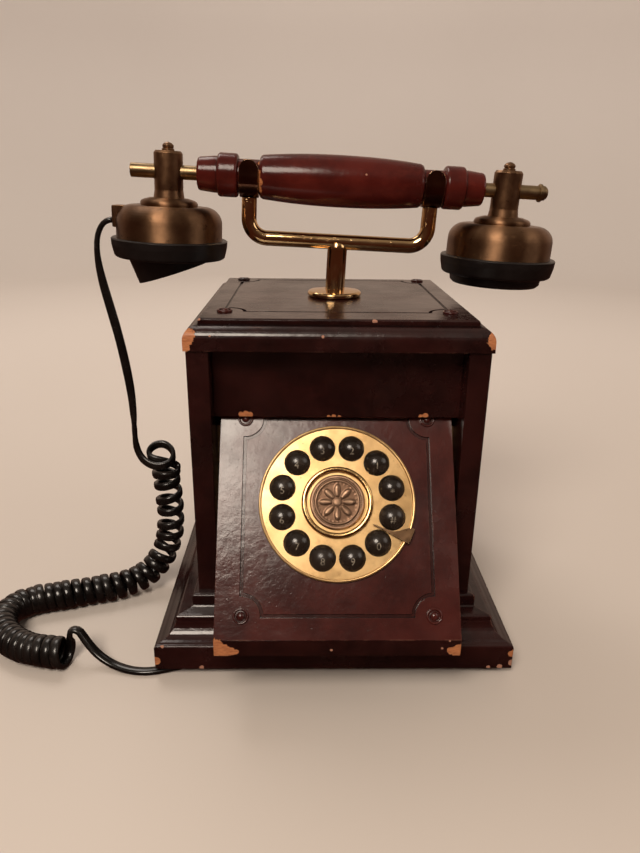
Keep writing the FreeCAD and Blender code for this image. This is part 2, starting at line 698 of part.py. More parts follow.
def cup_bell():
    bend_x, inner_r = BELL_R - BELL_BEND_R, BELL_R - BELL_SKIN
    inside = arc_points((bend_x, BELL_BEND_Z), BELL_BEND_R - BELL_SKIN, 0, 80, 8)
    inside += [(14.0, 227.3), (0, 227.3)]
    return turned(bell_outline() + [(BELL_R, BELL_LOW), (inner_r, BELL_LOW)] + inside)


def cap_ring():
    """The black cap that goes over a cup's rim, from its floor's middle round to its lower edge."""
    bore_r = BELL_R + 0.1
    inside = [(0, BELL_LOW), (bore_r, BELL_LOW), (bore_r, CAP_TOP), (CAP_R - 0.6, CAP_TOP)]
    low = arc_points((CAP_R - 3.4, CAP_LOW + 2.2), 2.2, -5, -90, 4)
    return inside + [(CAP_R, CAP_TOP - 0.6), (CAP_R - 0.3, CAP_TOP - 4.0)] + low


def mouthpiece():
    """Cap with a speaking horn: a tapered boss cut off on a slant, hollowed from the slanted mouth."""
    root_r, tip_r, drop, wall = 22.8, 16.9, 15.0, 2.4
    cap = turned(cap_ring() + [(0, CAP_LOW)])
    boss = Part.makeCone(tip_r, root_r, drop, Vector(0, 0, CAP_LOW - drop))
    low_x, slant_deg = 16.6, 19.5
    below = block(-10, 80, -60, 60, -60, 0)
    below.Placement = Placement(Vector(-low_x, 0, CAP_LOW - drop + 0.6), Rotation(Y_AXIS, -slant_deg))
    boss = boss.cut(below)
    hollow = Part.makeCone(tip_r - wall, root_r - wall, drop, Vector(0, 0, CAP_LOW - drop))
    hollow = hollow.cut(block(-40, 40, -40, 40, CAP_LOW - 1.0, CAP_LOW + 5))
    whole = cap.fuse(boss).cut(hollow)
    for x, y in [(-3.0, 0)] + [(6 * math.cos(a) - 3.0, 6 * math.sin(a)) for a in SIX_WAYS]:
        whole = whole.cut(rod(1.0, (x, y, CAP_LOW - 3), (x, y, CAP_TOP)))
    return whole.removeSplitter().translated(Vector(LEFT_CUP_X, 0, 0))


def receiver_cap():
    """Cap with a lower step and a shallow dish with sound holes for the ear."""
    step_r, dish_r = 25.1, 20.0
    low = CAP_LOW - 5.0
    step = [(step_r + 0.9, CAP_LOW), (step_r, CAP_LOW - 0.8), (step_r - 0.4, low + 1.4), (step_r - 1.8, low)]
    dish = [(dish_r + 1.0, low), (dish_r - 2.0, low + 1.4), (8.0, low + 2.8), (0, low + 3.0)]
    cap = turned(cap_ring() + step + dish)
    for x, y in [(0, 0)] + [(5 * math.cos(a), 5 * math.sin(a)) for a in SIX_WAYS]:
        cap = cap.cut(rod(0.9, (x, y, low - 1), (x, y, CAP_TOP)))
    return cap.translated(Vector(RIGHT_CUP_X, 0, 0))


def capsule(x, r, height):
    """A round capsule that lies on the cap's floor, inside the cup."""
    z, top = BELL_LOW, BELL_LOW + height
    outline = [(0, z), (r, z), (r, top - 2), (r - 2, top), (6, top), (6, top + 1.5), (0, top + 1.5)]
    return turned(outline, (x, 0, 0))


def cord_bracket():
    """A small lug on the left cup's shoulder, where the cord comes out."""
    whole = block(BRACKET_X, LEFT_CUP_X - 20.0, -8.0, 2.0, 217.2, 228.4)
    edges = [e for e in whole.Edges if e.BoundBox.XMax < BRACKET_X + 0.1]
    whole = whole.makeFillet(1.2, edges)
    solid_bell = turned(bell_outline() + [(BELL_R, CAP_TOP), (0, CAP_TOP)], (LEFT_CUP_X, 0, 0))
    whole = whole.cut(solid_bell)
    return max(whole.Solids, key=lambda s: s.Volume)


# ---------------------------------------------------------------- cord
BRACKET_X = LEFT_CUP_X - 29.4
CORD_EXIT = LEAN_PLACE.multVec(Vector(BRACKET_X, -3.0, 220.6))
CORD_SECOND = LEAN_PLACE.multVec(Vector(BRACKET_X - 4.8, -3.0, 220.6))
UPPER_ROUTE = [
    (CORD_EXIT.x, CORD_EXIT.y, CORD_EXIT.z),
    (CORD_SECOND.x, CORD_SECOND.y, CORD_SECOND.z),
    (-130.0, -3.1, 218.2),
    (-131.1, -3.4, 207.5),
    (-129.6, -4.0, 194.5),
    (-126.5, -4.6, 180.0),
    (-122.9, -5.0, 163.0),
    (-120.3, -5.0, 145.5),
    (-118.5, -5.0, 128.0),
    (-118.4, -5.0, 112.5),
    (-114.6, -5.0, 100.0),
    (-107.6, -5.0, 90.4),
]
COIL_ROUTE = [
    (-107.4, -5.0, 90.1),
    (-102.6, -5.0, 80.5),
    (-100.6, -5.0, 66.0),
    (-100.3, -5.0, 50.0),
    (-101.4, -6.0, 34.5),
    (-106.2, -10.0, 20.5),
    (-116.5, -17.0, 10.8),
    (-130.5, -24.6, 8.75),
    (-146.5, -29.8, 8.75),
    (-162.5, -35.2, 8.75),
    (-177.0, -39.0, 8.75),
    (-187.6, -47.0, 8.75),
    (-189.0, -60.5, 8.75),
    (-182.0, -72.5, 8.75),
    (-171.0, -81.5, 8.75),
    (-157.0, -86.5, 8.75),
    (-143.0, -88.0, 8.75),
]
LEAD_ROUTE = [
    (-143.0, -88.0, 8.75),
    (-135.2, -88.835714, 8.75),
    (-125.5, -90.0, 5.2),
    (-114.5, -91.8, 2.0),
    (-103.0, -93.6, 2.0),
    (-91.5, -93.0, 2.0),
    (-80.0, -88.6, 2.0),
    (-69.5, -81.6, 2.0),
    (-59.2, -73.9, 2.0),
    (-49.0, -66.8, 2.0),
]


def gland_block(clearance):
    """The gland's outline, in line with the cord's last run."""
    end, before = Vector(*LEAD_ROUTE[-1]), Vector(*LEAD_ROUTE[-2])
    angle = math.degrees(math.atan2(end.y - before.y, end.x - before.x))
    half, long, top = 4.5 + clearance, 13.0, FLOOR_TOP + 4.0
    body = block(0, long, -half, half, 0.4, top)
    body.Placement = Placement(Vector(end.x, end.y, 0), Rotation(Z_AXIS, angle))
    return body


def cord_gland():
    """The block in the base plate that the cord goes into."""
    return gland_block(clearance=0.0)


# ---------------------------------------------------------------- inside the cabinet
JACK_HOLE = (26.0, 40.0, 52.0, 64.0)
BOARD_Z = 22.0


def line_jack():
    x0, x1, z0, z1 = JACK_HOLE
    body = block(x0, x1, HALF_D - BACK_T - 12, HALF_D - 0.6, z0, z1)
    body = body.cut(block(x0 + 2.2, x1 - 2.2, HALF_D - 12, HALF_D + 1, z0 + 2.5, z1 - 3.5))
    return body.cut(block(x0 + 5.0, x1 - 5.0, HALF_D - 12, HALF_D + 1, z1 - 3.6, z1 - 1.6))


def main_board():
    """The circuit board on four spacers, with its larger parts."""
    board = block(-50, 50, -20, 50, BOARD_Z, BOARD_Z + 1.6)
    spacers = [rod(3.0, (x, y, FLOOR_TOP), (x, y, BOARD_Z)) for x in (-45, 45) for y in (-15, 45)]
    top = BOARD_Z + 1.6
    transformer = block(-40, -18, 18, 40, top, top + 18)
    chips = [block(x, x + 20, -4, 4, top, top + 3.2) for x in (-34, -6)]
    cans = [rod(4.0, (x, 30, top), (x, 30, top + 12)) for x in (0, 12, 24)]
    relay = block(28, 44, -12, 0, top, top + 11)
    header = block(-14, 14, -18, -13, top, top + 7)
    return [board, transformer, relay, header] + spacers + chips + cans


def ringer():
    """A round sounder held to the inside of the left board."""
    outline = [(0, 0), (20, 0), (20, 8), (17, 10), (4, 10), (4, 8.5), (0, 8.5)]
    return turned(outline, (-INNER_X, 20.0, 105.0), X_AXIS)


def base_screws():
    outline = [(0, FOOT_H - 1.8), (3.0, FOOT_H - 1.8), (3.2, FOOT_H), (1.6, FOOT_H), (1.6, 24.0), (0, 26.0)]
    x, y = BASE_SCREW_AT
    return [turned(outline, (sx * x, sy * y, 0)) for sx in (-1, 1) for sy in (-1, 1)]


def back_screws():
    outline = [(0, -1.6), (2.6, -1.6), (3.2, 0), (1.6, 0), (1.6, 20.0), (0, 22.0)]
    x = HALF_W - BOARD_T / 2
    return [turned(outline, (sx * x, HALF_D, z), Y_AXIS * -1) for sx in (-1, 1) for z in (48.0, 160.0)]


def main():
    os.makedirs("parts", exist_ok=True)
    low_screws, rear_screws, pad_screws = base_screws(), back_screws(), keypad_screws()

    save("plinth_moulding", *plinth_moulding())
    save("base_plate", base_plate(low_screws))
    save("rubber_feet", *rubber_feet())
    save("left_side_panel", side_panel(-1, low_screws + rear_screws))
    save("right_side_panel", side_panel(1, low_screws + rear_screws))
    save("back_panel", back_panel(rear_screws))
    save("front_board", front_board())
    save("front_wall", front_wall())
    save("top_board", top_board())
    save("corner_studs", *corner_studs())
    save("dial_panel", dial_panel(pad_screws))
    save("dial_box_sides", *dial_box_sides())
    save("dial_box_floor", dial_box_floor())
    save("dial_plate", dial_plate())
    save("dial_bezel", dial_bezel())
    save("centre_ring", centre_ring())
    save("centre_badge", centre_badge())
    save("finger_stop", finger_stop())
    save("keypad_board", keypad_board(pad_screws))
    save("keypad_mat", keypad_mat())
    save("stem_flange", stem_flange())
    save("hook_switch", *hook_switch())
    save("main_board", *main_board())
    save("ringer", ringer())
    save("line_jack", line_jack())
    save("cord_gland", cord_gland())
    save("case_screws", *low_screws, *rear_screws, *pad_screws)

    save_leaned("cradle_stem", cradle_stem())
    save_leaned("cradle_bar", cradle_bar())
    save_leaned("cradle_forks", *cradle_forks())
    save_leaned("stem_collar", stem_collar())
    save_leaned("hook_spring", hook_spring())

    save_leaned("handset_grip", handset_grip())
    save_leaned("end_collars", *end_collars())
    save_leaned("handset_rod", handset_rod())
    save_leaned("rod_finial", rod_finial())
    save_leaned("cup_posts", *cup_posts())
    save_leaned("post_screws", *post_screws())
    save_leaned("transmitter_bell", cup_bell().translated(Vector(LEFT_CUP_X, 0, 0)))
    save_leaned("receiver_bell", cup_bell().translated(Vector(RIGHT_CUP_X, 0, 0)))
    save_leaned("mouthpiece", mouthpiece())
    save_leaned("receiver_cap", receiver_cap())
    save_leaned("microphone", capsule(LEFT_CUP_X, 14.0, 8.0))
    save_leaned("receiver_capsule", capsule(RIGHT_CUP_X, 20.0, 10.0))
    save_leaned("cord_bracket", cord_bracket())

    for name, angle in key_angles():
        save(name, key(angle))

    save("cord_upper", tube(UPPER_ROUTE, CORD_D / 2, "cord_upper"))
    save("cord_coil", tube(COIL_ROUTE, COIL_D / 2, "cord_coil"))
    save("cord_lead", tube(LEAD_ROUTE, CORD_D / 2, "cord_lead"))


main()
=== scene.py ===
"""Vintage push-button telephone: the visual model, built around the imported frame.

Coordinates are written in millimetres and turned into metres by at() and MM.
"""

import json
import math
import random

import bmesh
import bpy
from mathutils import Matrix, Vector


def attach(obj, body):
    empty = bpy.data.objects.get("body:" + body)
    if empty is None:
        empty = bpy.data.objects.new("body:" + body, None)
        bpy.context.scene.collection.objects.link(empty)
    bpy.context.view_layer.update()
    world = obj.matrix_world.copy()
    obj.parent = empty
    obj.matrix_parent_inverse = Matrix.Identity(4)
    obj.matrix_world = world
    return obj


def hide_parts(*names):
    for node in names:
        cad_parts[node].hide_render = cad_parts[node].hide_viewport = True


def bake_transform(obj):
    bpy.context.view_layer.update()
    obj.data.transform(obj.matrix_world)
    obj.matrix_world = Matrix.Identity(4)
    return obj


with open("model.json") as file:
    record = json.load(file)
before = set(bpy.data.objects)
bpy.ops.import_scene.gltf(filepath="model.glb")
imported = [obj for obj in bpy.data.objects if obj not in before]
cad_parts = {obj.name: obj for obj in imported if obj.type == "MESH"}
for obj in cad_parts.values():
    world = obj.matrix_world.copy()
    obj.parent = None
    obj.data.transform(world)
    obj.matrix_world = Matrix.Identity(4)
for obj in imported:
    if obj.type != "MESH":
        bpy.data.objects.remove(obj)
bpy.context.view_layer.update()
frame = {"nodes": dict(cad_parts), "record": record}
NODES = frame["nodes"]

MM = 0.001
X_AXIS = Vector((1, 0, 0))
Y_AXIS = Vector((0, 1, 0))
Z_AXIS = Vector((0, 0, 1))


def at(x, y, z):
    """A point of the row frame, from millimetres."""
    return Vector((x, y, z)) * MM


# ---------------------------------------------------------------- node materials
class Finish:
    """A node material. Each step adds one node and returns its output socket."""

    def __init__(self, name, **fixed):
        self.material = bpy.data.materials.new(name)
        self.material.use_nodes = True
        self.nodes = self.material.node_tree.nodes
        self.links = self.material.node_tree.links
        self.shader = self.nodes["Principled BSDF"]
        self.place = self.nodes.new("ShaderNodeTexCoord").outputs["Object"]
        self.faces = self.nodes.new("ShaderNodeNewGeometry").outputs["Normal"]
        for key, value in fixed.items():
            self.plug(self.shader.inputs[key.replace("_", " ")], value)

    def plug(self, socket, value):
        if isinstance(value, bpy.types.NodeSocket):
            self.links.new(value, socket)
        elif socket.type == "RGBA":
            socket.default_value = (*value, 1)
        else:
            socket.default_value = value

    def add(self, kind, outlet, settings, sockets):
        node = self.nodes.new("ShaderNode" + kind)
        for key, value in settings.items():
            setattr(node, key, value)
        for key, value in sockets.items():
            self.plug(node.inputs[key], value)
        return node.outputs[outlet]

    def math(self, operation, a, b=0.0, c=0.0):
        return self.add("Math", 0, {"operation": operation}, {0: a, 1: b, 2: c})

    def vector(self, operation, a, b, outlet="Vector"):
        return self.add("VectorMath", outlet, {"operation": operation}, {0: a, 1: b})

    def noise(self, scale, detail=3.0, rough=0.55, stretch=(1, 1, 1), shift=0.0):
        """Cloudy noise from 0 to 1, with features about 1/scale metres across."""
        where = self.vector("MULTIPLY", self.place, stretch)
        where = self.vector("ADD", where, (shift, shift * 0.7, shift * 0.4))
        return self.add("TexNoise", "Fac", {}, {
            "Vector": where, "Scale": scale, "Detail": detail, "Roughness": rough})

    def cells(self, scale, shift=0.0):
        """Distance from the middle of scattered cells."""
        where = self.vector("ADD", self.place, (shift, shift, shift))
        return self.add("TexVoronoi", "Distance", {}, {"Vector": where, "Scale": scale})

    def band(self, value, low, high, start=0.0, end=1.0):
        """start below low, end above high, and smooth between them."""
        return self.add("MapRange", "Result", {"interpolation_type": "SMOOTHSTEP"}, {
            "Value": value, "From Min": low, "From Max": high, "To Min": start, "To Max": end})

    def mix(self, share, a, b):
        return self.add("Mix", 2, {"data_type": "RGBA"}, {0: share, 6: a, 7: b})

    def most(self, *values):
        total = values[0]
        for value in values[1:]:
            total = self.math("MAXIMUM", total, value)
        return total

    def scratches(self, scale, stretch, share=0.5, width=0.006, shift=0.0):
        """Thin broken lines: level lines of a stretched noise."""
        lines = self.math("ABSOLUTE", self.math("SUBTRACT", self.noise(
            scale, 1.0, 0.4, stretch, shift), 0.5))
        where = self.band(self.noise(scale * 0.9, 2.0, 0.5, (1, 1, 1), shift + 3), 1 - share, 1.05 - share)
        return self.math("MULTIPLY", self.band(lines, width * 0.4, width, 1, 0), where)

    def chips(self, places):
        """1 inside each ragged patch. A place is (x, y, z, radius) in millimetres."""
        ragged = self.noise(520, 3.0, 0.65)
        total = None
        for x, y, z, radius in places:
            far = self.vector("DISTANCE", self.place, at(x, y, z), "Value")
            near = self.math("DIVIDE", far, radius * MM)
            patch = self.band(self.math("MULTIPLY_ADD", ragged, 0.9, near), 1.40, 1.47, 1, 0)
            total = patch if total is None else self.math("MAXIMUM", total, patch)
        return total

    def edges(self, radius, low=0.02, high=0.22):
        """1 along sharp edges, 0 elsewhere."""
        soft = self.add("Bevel", "Normal", {"samples": 5}, {"Radius": radius * MM})
        flat = self.vector("DOT_PRODUCT", soft, self.faces, "Value")
        return self.band(self.math("SUBTRACT", 1.0, flat), low, high)

    def crevice_shade(self, reach):
        """1 in grooves and inner corners, 0 on open faces, from ambient occlusion: the mask of painted shade.
        """
        settings = {"samples": 6, "only_local": True}
        open_share = self.add("AmbientOcclusion", "AO", settings, {"Distance": reach * MM})
        return self.band(open_share, 0.50, 0.93, 1, 0)

    def bump(self, *layers, soften=0.0):
        """Layers are (height, depth in mm). soften rounds the sharp edges by that radius."""
        normal = None
        if soften:
            normal = self.add("Bevel", "Normal", {"samples": 5}, {"Radius": soften * MM})
        for height, depth in layers:
            sockets = {"Strength": 1.0, "Distance": depth * MM, "Height": height}
            if normal is not None:
                sockets["Normal"] = normal
            normal = self.add("Bump", "Normal", {}, sockets)
        self.plug(self.shader.inputs["Normal"], normal)

    def colour(self, value):
        self.plug(self.shader.inputs["Base Color"], value)

    def gloss(self, value):
        self.plug(self.shader.inputs["Roughness"], value)


def lacquered_wood(name, deep, mid, light, bare_places, dots, smooth=0.18, shine=0.5, soften=0.35):
    """Thick dark lacquer, lumpy and scratched, chipped to orange wood at its corners."""
    f = Finish(name, IOR=1.5, Specular_IOR_Level=shine, Coat_Weight=0.3 * shine, Coat_Roughness=0.18,
               Coat_IOR=1.5)
    clouds = f.noise(34, 4.0, 0.6)
    grain = f.noise(60, 4.0, 0.6, (2, 2, 3), 0.3)
    paint = f.mix(f.band(clouds, 0.32, 0.68), deep, mid)
    paint = f.mix(f.math("MULTIPLY", f.band(grain, 0.5, 0.78), 0.35), paint, light)
    # lighter along patches of the sharp edges: rubbed lacquer, and partly a painted highlight on the edges
    worn = f.math("MULTIPLY", f.edges(0.9, 0.03, 0.3), f.band(f.noise(95, 4.0, 0.7, shift=1.1), 0.5, 0.62))
    paint = f.mix(f.math("MULTIPLY", worn, 0.55), paint, (0.23, 0.10, 0.07))
    marks = f.scratches(48, (1, 1.6, 7), 0.30, 0.0030)
    nicks = f.scratches(85, (6, 1, 1.4), 0.27, 0.0028, 2.2)
    hairs = f.most(marks, nicks)
    paint = f.mix(f.math("MULTIPLY", hairs, 0.12), paint, (0.26, 0.13, 0.10))
    # painted shade: near-black in the grooves and inner corners that the ambient occlusion finds shut in
    paint = f.mix(f.math("MULTIPLY", f.crevice_shade(1.6), 0.9), paint, (0.006, 0.003, 0.003))
    specks = f.chips(dots)
    paint = f.mix(specks, paint, (0.42, 0.20, 0.13))
    bare = f.chips(bare_places)
    fibre = f.noise(300, 4.0, 0.6, (1, 1, 5), 4.0)
    wood = f.mix(f.band(fibre, 0.35, 0.7), (0.54, 0.205, 0.075), (0.34, 0.105, 0.034))
    f.colour(f.mix(bare, paint, wood))
    dull = f.band(f.noise(22, 5.0, 0.65, shift=5.0), 0.35, 0.75, smooth, smooth + 0.16)
    f.gloss(f.most(f.math("MULTIPLY", f.most(bare, specks), 0.7), f.math("MULTIPLY", hairs, 0.45), dull))
    lumps = f.noise(190, 3.0, 0.6)
    pits = f.band(f.cells(330, 0.4), 0.02, 0.16)
    f.bump((lumps, 0.16), (f.noise(700, 2.0), 0.022), (pits, 0.03),
           (f.math("MULTIPLY", hairs, -1.0), 0.03), (f.math("MULTIPLY", f.most(bare, specks), -1.0), 0.35),
           soften=soften)
    return f.material


def bare_wood(name, pale, brown, dark, rough):
    """Board without lacquer, raw or stained."""
    f = Finish(name, Roughness=rough)
    rings = f.noise(30, 5.0, 0.62, (1, 8, 8))
    fibre = f.noise(420, 3.0, 0.6, (1, 9, 9))
    board = f.mix(f.band(rings, 0.3, 0.7), pale, brown)
    f.colour(f.mix(f.math("MULTIPLY", f.band(fibre, 0.5, 0.75), 0.4), board, dark))
    f.bump((fibre, 0.06), (rings, 0.1), soften=0.3)
    return f.material


def metal(name, bright, dim, dark, smooth, rough, stains=0.35, rings=0.0, scale=1.0, edge_wear_and_glint=None, turned=0.0):
    """Metal with clouds of tarnish, dark stains, and turning or brushing lines round Z."""
    f = Finish(name, Metallic=1.0, Anisotropic=turned, Anisotropic_Rotation=0.25 if turned else 0.0)
    if turned:
        round_z = f.add("Tangent", 0, {"direction_type": "RADIAL", "axis": "Z"}, {})
        f.plug(f.shader.inputs["Tangent"], round_z)
    clouds = f.noise(70 * scale, 4.0, 0.6)
    shade = f.mix(f.band(clouds, 0.35, 0.66), bright, dim)
    stain = f.math("MULTIPLY", f.band(f.noise(150 * scale, 5.0, 0.7, shift=2.0), 0.60, 0.74), stains)
    shade = f.mix(stain, shade, dark)
    hairs = f.scratches(120, (1, 1, 5), 0.45, 0.005, 1.0)
    shade = f.mix(f.math("MULTIPLY", hairs, 0.4), shade, dark)
    # lighter along the sharp edges: rubbed metal, and partly a painted highlight; on the forks it is a
    # painted highlight outlining them
    if edge_wear_and_glint:
        shade = f.mix(f.math("MULTIPLY", f.edges(0.6), 0.8), shade, edge_wear_and_glint)
    f.colour(shade)
    worn = f.band(f.noise(110 * scale, 4.0, 0.65, shift=6.0), 0.3, 0.75, smooth, rough)
    f.gloss(f.most(worn, f.math("MULTIPLY", stain, rough * 1.6)))
    layers = [(f.noise(260, 2.0), 0.03), (f.math("MULTIPLY", hairs, -1.0), 0.02)]
    if rings:
        layers.append((f.noise(60, 3.0, 0.7, (1, 1, 60)), rings))
    f.bump(*layers, soften=0.25)
    return f.material


def moulded(name, deep, mid, smooth, rough, dust=(0.20, 0.15, 0.12), dusty=0.12, lump=0.05, coat=0.0):
    """Moulded plastic or rubber with handling marks and a little dust."""
    f = Finish(name, IOR=1.5, Coat_Weight=coat, Coat_Roughness=0.08)
    clouds = f.noise(60, 4.0, 0.6)
    shade = f.mix(f.band(clouds, 0.3, 0.7), deep, mid)
    film = f.math("MULTIPLY", f.band(f.noise(130, 5.0, 0.7, shift=3.0), 0.5, 0.8), dusty)
    shade = f.mix(film, shade, dust)
    specks = f.math("MULTIPLY", f.band(f.cells(700, 1.3), 0.05, 0.10, 1, 0), 0.5 * dusty)
    shade = f.mix(specks, shade, (0.5, 0.45, 0.4))
    # dust colour along the edges: dust and rubbing, and partly a painted highlight on the edges
    worn = f.math("MULTIPLY", f.edges(0.5), 0.25)
    f.colour(f.mix(worn, shade, dust))
    hairs = f.scratches(90, (1, 1.3, 6), 0.4, 0.004, 2.0)
    f.gloss(f.most(f.band(clouds, 0.3, 0.75, smooth, rough), f.math("MULTIPLY", hairs, rough * 1.5)))
    f.bump((f.noise(320, 3.0, 0.6), lump), (f.math("MULTIPLY", hairs, -1.0), 0.02), soften=0.25)
    return f.material


def dial_gold():
    """Pale satin gold plate with brown clouds, spots and specks, and fine scratches."""
    f = Finish("dial_gold_satin", Metallic=0.85)
    shade = f.mix(f.band(f.noise(55, 4.0, 0.6), 0.35, 0.68), (0.70, 0.47, 0.22), (0.53, 0.335, 0.145))
    tarnish = f.math("MULTIPLY", f.band(f.noise(120, 5.0, 0.7, shift=4.0), 0.52, 0.72), 0.4)
    shade = f.mix(tarnish, shade, (0.37, 0.21, 0.085))
    spots = f.math("MULTIPLY", f.band(f.noise(240, 4.0, 0.72, shift=1.4), 0.66, 0.78), 0.75)
    specks = f.math("MULTIPLY", f.band(f.cells(210, 0.9), 0.05, 0.11, 1, 0), 0.55)
    shade = f.mix(f.most(spots, specks), shade, (0.22, 0.12, 0.05))
    hairs = f.scratches(110, (1, 5, 5), 0.45, 0.004)
    f.colour(f.mix(f.math("MULTIPLY", hairs, 0.35), shade, (0.30, 0.18, 0.08)))
    f.gloss(f.band(f.noise(90, 4.0, 0.6, shift=2.0), 0.3, 0.7, 0.28, 0.42))
    f.bump((f.noise(180, 3.0), 0.05), (f.noise(1500, 2.0, 0.6), 0.012),
           (f.math("MULTIPLY", spots, -1.0), 0.03))
    return f.material


def badge_bronze():
    """Dull bronze, darker where the relief is low."""
    f = Finish("badge_bronze_dull", Metallic=0.85)
    depth = f.nodes.new("ShaderNodeAttribute")
    depth.attribute_name = "relief"
    high = depth.outputs["Fac"]
    shade = f.mix(f.band(f.noise(240, 4.0, 0.65), 0.35, 0.7), (0.33, 0.21, 0.135), (0.23, 0.135, 0.085))
    low = f.mix(f.band(high, 0.05, 0.6), (0.145, 0.082, 0.050), shade)
    green = f.math("MULTIPLY", f.band(f.noise(420, 4.0, 0.7, shift=1.0), 0.6, 0.75), 0.35)
    f.colour(f.mix(green, low, (0.09, 0.075, 0.05)))
    f.gloss(f.band(f.noise(300, 3.0), 0.3, 0.7, 0.34, 0.5))
    f.bump((f.noise(600, 3.0), 0.03))
    return f.material


def printed_board():
    """Green lacquer over the tracks of a circuit board."""
    f = Finish("circuit_board_green", Roughness=0.4)
    tracks = f.band(f.cells(420), 0.28, 0.34)
    f.colour(f.mix(tracks, (0.02, 0.12, 0.05), (0.03, 0.20, 0.08)))
    f.bump((tracks, 0.04))
    return f.material


# chips and specks in the lacquer: x, y, z and radius in millimetres
LID_CORNERS = [(-73.6, -75.5, 178.6, 5.6), (-74.6, -75.5, 174.2, 4.4), (74.4, -75.5, 177.4, 4.8)]
NOSE_CORNERS = [(-58.6, -120.5, 37.6, 5.0), (-54.6, -120.5, 36.2, 3.8), (-51.2, -120.5, 35.7, 2.5),
                (-48.6, -120.5, 35.5, 1.4), (58.6, -120.5, 35.6, 4.0), (54.8, -120.5, 36.0, 2.2)]
LINTEL_CHIPS = [(-48.4, -63.0, 135.6, 1.5), (-46.2, -63.0, 136.0, 1.7), (-43.9, -63.0, 135.5, 1.4),
                (-4.2, -63.0, 134.6, 1.0), (-1.6, -63.0, 134.7, 1.2), (1.2, -63.0, 134.5, 0.9),
                (42.6, -63.0, 135.0, 1.1), (45.0, -63.0, 135.4, 1.5)]
PLINTH_CORNERS = [(-94.0, -95.0, 22.0, 2.2), (-94.2, -95.2, 9.5, 2.6), (94.2, -95.2, 14.0, 2.4)]
PLINTH_DOTS = [(-94.2, -95.0, 29.5, 1.3), (-90.0, -95.3, 18.8, 1.2), (93.5, -95.2, 31.0, 1.5),
               (94.3, -95.3, 24.0, 1.6), (94.3, -95.3, 8.0, 1.9), (88.0, -95.3, 5.4, 1.5),
               (82.0, -95.3, 5.0, 1.1), (70.0, -95.3, 26.5, 1.2), (-70.0, -95.3, 5.2, 1.3)]
NOSE_DOTS = [(-3.0, -120.5, 36.4, 0.7), (50.2, -120.5, 37.4, 0.6), (53.6, -120.5, 41.6, 0.6)]
LID_DOTS = [(16.9, -69.3, 185.2, 1.7), (-61.0, -75.0, 178.5, 0.7), (-8.0, -75.0, 178.6, 0.9),
            (-40.0, -69.0, 185.4, 0.8), (47.0, -69.2, 185.4, 0.9), (-66.8, -68.5, 185.2, 1.0)]
GRIP_CHIPS = [(-41.4, -8.5, 249.5, 2.5), (-41.2, -10.2, 246.0, 2.3), (-41.4, -8.2, 242.5, 2.2),
              (-41.0, -4.0, 253.5, 2.2)]
GRIP_DOTS = [(15.0, -12.0, 250.0, 0.7)]
CABINET_CHIPS = LID_CORNERS + NOSE_CORNERS + LINTEL_CHIPS + PLINTH_CORNERS
CABINET_DOTS = PLINTH_DOTS + NOSE_DOTS + LID_DOTS

# colours in threes: deep, mid and light lacquer; bright, dim and dark metal; pale, brown and dark wood
# the cabinet's lacquer is darkened in part as painted shade; the panel's is a lighter, redder copy of it,
# painted light
SHADED_OXBLOOD = ((0.011, 0.0026, 0.0025), (0.027, 0.0059, 0.0051), (0.046, 0.0116, 0.0094))
LIT_MAROON = ((0.036, 0.0070, 0.0060), (0.072, 0.0140, 0.0110), (0.098, 0.0220, 0.0170))
RUSSET = ((0.048, 0.0058, 0.0042), (0.094, 0.0118, 0.0080), (0.132, 0.021, 0.013))
BRASS = ((0.80, 0.55, 0.29), (0.70, 0.45, 0.21), (0.22, 0.11, 0.05))
BRONZE = ((0.285, 0.160, 0.085), (0.185, 0.100, 0.054), (0.048, 0.025, 0.015))
# the bronze's edge colour: rubbed edges, and partly a painted highlight
BRONZE_EDGE = (0.34, 0.21, 0.11)
# the forks' brass is darkened to stand in for the dark reflections on their faces: painted shade
FORK_BRASS = ((0.20, 0.090, 0.052), (0.13, 0.058, 0.036), (0.03, 0.014, 0.009))
ROD_BRASS = ((0.36, 0.255, 0.14), (0.25, 0.17, 0.09), (0.08, 0.05, 0.03))
RING_BRASS = ((0.80, 0.55, 0.25), (0.62, 0.40, 0.17), (0.16, 0.08, 0.03))
STOP_BRONZE = ((0.22, 0.130, 0.070), (0.14, 0.083, 0.047), (0.07, 0.04, 0.025))
BADGE_BRONZE = ((0.30, 0.19, 0.125), (0.20, 0.12, 0.08), (0.06, 0.035, 0.025))
ZINC = ((0.62, 0.63, 0.65), (0.46, 0.47, 0.49), (0.16, 0.15, 0.14))
RAW_WOOD = ((0.34, 0.19, 0.09), (0.21, 0.11, 0.05), (0.12, 0.06, 0.03))
STAINED_WOOD = ((0.085, 0.036, 0.022), (0.048, 0.020, 0.013), (0.020, 0.010, 0.007))

